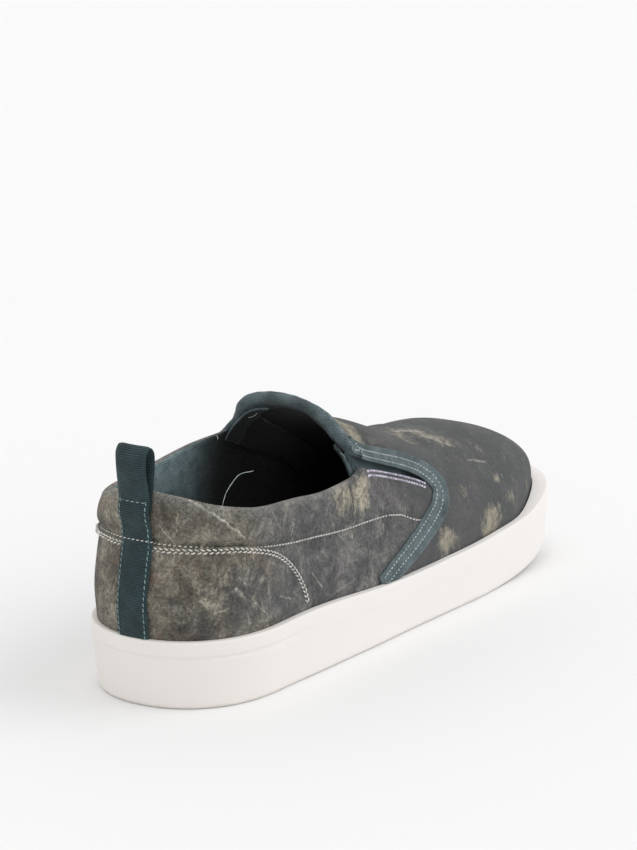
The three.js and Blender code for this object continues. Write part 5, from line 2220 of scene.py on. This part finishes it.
@dataclass
class Sewing:
    """All rows of stitches on the upper."""

    shop: Workshop
    patch: HeelPatch
    tapes: dict[Side, SideTape]
    webbing: PullWebbing

    def patch_rows(self) -> list[Pair]:
        """The two rows inside the edge of the heel patch.

        Returns:
            Points and outward directions of each row.
        """
        last, s = self.shop.last, self.shop.last.sizes
        azimuth, bottom, top = self.patch.directions()
        lines = []
        for inset in (0.9, 2.2):
            outer, normal = last.outer_at(azimuth, top)
            edge = outer + normal * (s.fit + self.patch.share * s.counter_thickness + 0.08)
            along = unit(np.gradient(edge, axis=0))
            aside = np.cross(along, normal)
            aside *= np.where(aside[:, 2:] > 0, -1, 1)
            line = edge + unit(aside) * inset
            keep = line[:, 2] > bottom + 0.5
            lines.append((resample(line[keep], 260), resample(normal[keep], 260)))
        return lines

    def quarter_rows(self, side: Side) -> list[Pair]:
        """The two rows along the quarter's upper front edge.

        Args:
            side: which side.

        Returns:
            Points and outward directions of each row.
        """
        last = self.shop.last
        lines = []
        azimuth, elevation = across_slot(last, side, (0.17, 0.17), 0, 60, 1)
        _, outer, _, normal = last.face(azimuth[:, 0], elevation[:, 0])
        along = unit(np.gradient(outer, axis=0))
        aside = np.cross(along, normal)
        aside *= np.where(aside[:, 2:] > 0, -1, 1)
        for inset in (0.9, 2.7):
            line = outer + unit(aside) * inset
            keep = slice(6, 56)
            turned, up = last.direction(line[keep])
            _, face, _, out = last.face(turned, up)
            lines.append((face + out * (relief(last, face) + 0.1)[:, None], out))
        return lines

    def build(self) -> None:
        """Sews every row."""
        shop, palette = self.shop, self.shop.palette
        white = palette.white_thread
        seam = [seam_line(shop.last, 250, lift=0.06, drop=0.9)]
        StitchRun(shop, "collar_stitches", white, "canvas", 2.15, 1.3, 0.36, 14).build(seam)
        for word, slant, row in zip(("high", "low"), (-22.4, 22.4), self.patch_rows()):
            StitchRun(shop, f"patch_stitches_{word}", white, "canvas", 2.4, 1.8, 0.32, slant).build([row])
        for side in Side:
            for word, slant, row in zip(("high", "low"), (-28, 28), self.quarter_rows(side)):
                name = f"quarter_stitches_{side.name.lower()}_{word}"
                StitchRun(shop, name, palette.lilac_thread, "canvas", 2.0, 1.5, 0.42, slant).build([row])
        tape = self.tapes[Side.OUTER].rows() + self.tapes[Side.INNER].rows()
        StitchRun(shop, "tape_stitches", palette.pale_thread, "tape", 2.1, 1.2, 0.27, 8).build(tape)
        crossing = [self.webbing.crossing(68.6)]
        StitchRun(shop, "crossing_stitches", white, "webbing", 1.9, 1.4, 0.22, 8).build(crossing)
        rows = self.webbing.rows()
        StitchRun(shop, "webbing_stitches", palette.teal_thread, "webbing", 2.3, 1.7, 0.26, 10).build(rows)


@dataclass(frozen=True)
class Studio:
    """Pale floor, soft light and the camera at the photo's angle."""

    azimuth: float = -57.83
    elevation: float = 14.44
    distance: float = 1501
    focal_pixels: float = 3519
    image_height: float = 850
    target: tuple[float, float, float] = (139.9, 0, 85.8)
    sky: float = 0.93
    key: float = 0.68
    key_spread: float = 50
    key_turn: tuple[float, float, float] = (48, 0, 35)
    floor_side: float = 12

    def camera(self, place: Place) -> None:
        """Sets the camera.

        Args:
            place: where the shoe lies in the frame.
        """
        a, e = math.radians(self.azimuth), math.radians(self.elevation)
        back = np.array([math.sin(a) * math.cos(e), -math.cos(a) * math.cos(e), math.sin(e)])
        target = place.metres(np.array(self.target))
        data = bpy.data.cameras.new("camera")
        data.sensor_fit = "AUTO"
        data.sensor_width = 36
        data.lens = self.focal_pixels / self.image_height * data.sensor_width
        data.clip_end = 20
        camera = show("camera", data)
        camera.location = target + back * self.distance * MM
        camera.rotation_euler = (math.pi / 2 - e, 0, a)
        bpy.context.scene.camera = camera

    def lights(self) -> None:
        """Sets the even sky and the soft key light."""
        world = bpy.data.worlds.new("studio")
        world.use_nodes = True
        world.node_tree.nodes["Background"].inputs[0].default_value = (1, 1, 1, 1)
        world.node_tree.nodes["Background"].inputs[1].default_value = self.sky
        bpy.context.scene.world = world
        bpy.context.scene.view_settings.view_transform = "Standard"
        data = bpy.data.lights.new("key", "SUN")
        data.angle = math.radians(self.key_spread)
        data.energy = self.key
        light = show("key", data)
        light.rotation_euler = tuple(math.radians(angle) for angle in self.key_turn)

    def floor(self) -> None:
        """Lays the floor."""
        half = self.floor_side / 2
        corners = [(-half, -half, 0), (half, -half, 0), (half, half, 0), (-half, half, 0)]
        data = bpy.data.meshes.new("floor")
        data.from_pydata(corners, [], [(0, 1, 2, 3)])
        paper = Shader("floor_paper", 0.8)
        shade = paper.mix(paper.noise(400).over(0.2, 0.8), tone(242, 242, 242), tone(243, 243, 243))
        paper.finish(shade, paper.noise(2) * 0.001)
        data.materials.append(paper.material)
        piece = show("floor", data)


def main() -> None:
    """Builds the shoe's looks in the order of its making."""
    logging.basicConfig(level=logging.INFO, format="%(message)s")
    last = Last(Sizes())
    feet = last.stations(200)
    place = Place.from_sole(feet + level_normals(feet) * last.inset(feet[:, 0])[:, None])
    studio = Studio()
    studio.camera(place)
    studio.lights()
    studio.floor()
    shop = Workshop(last, place, Palette.mix(place))
    CupSole(shop).build()
    Footbed(shop).build()
    UpperShell(shop).build()
    patch = HeelPatch(shop)
    patch.build()
    tapes = {side: SideTape(shop, side) for side in Side}
    for side in Side:
        tapes[side].build()
        ElasticGore(shop, side).build()
    TabRoll(shop).build()
    LooseThreads(shop).build()
    webbing = PullWebbing(shop)
    webbing.build()
    Sewing(shop, patch, tapes, webbing).build()


if __name__ == "__main__":
    main()
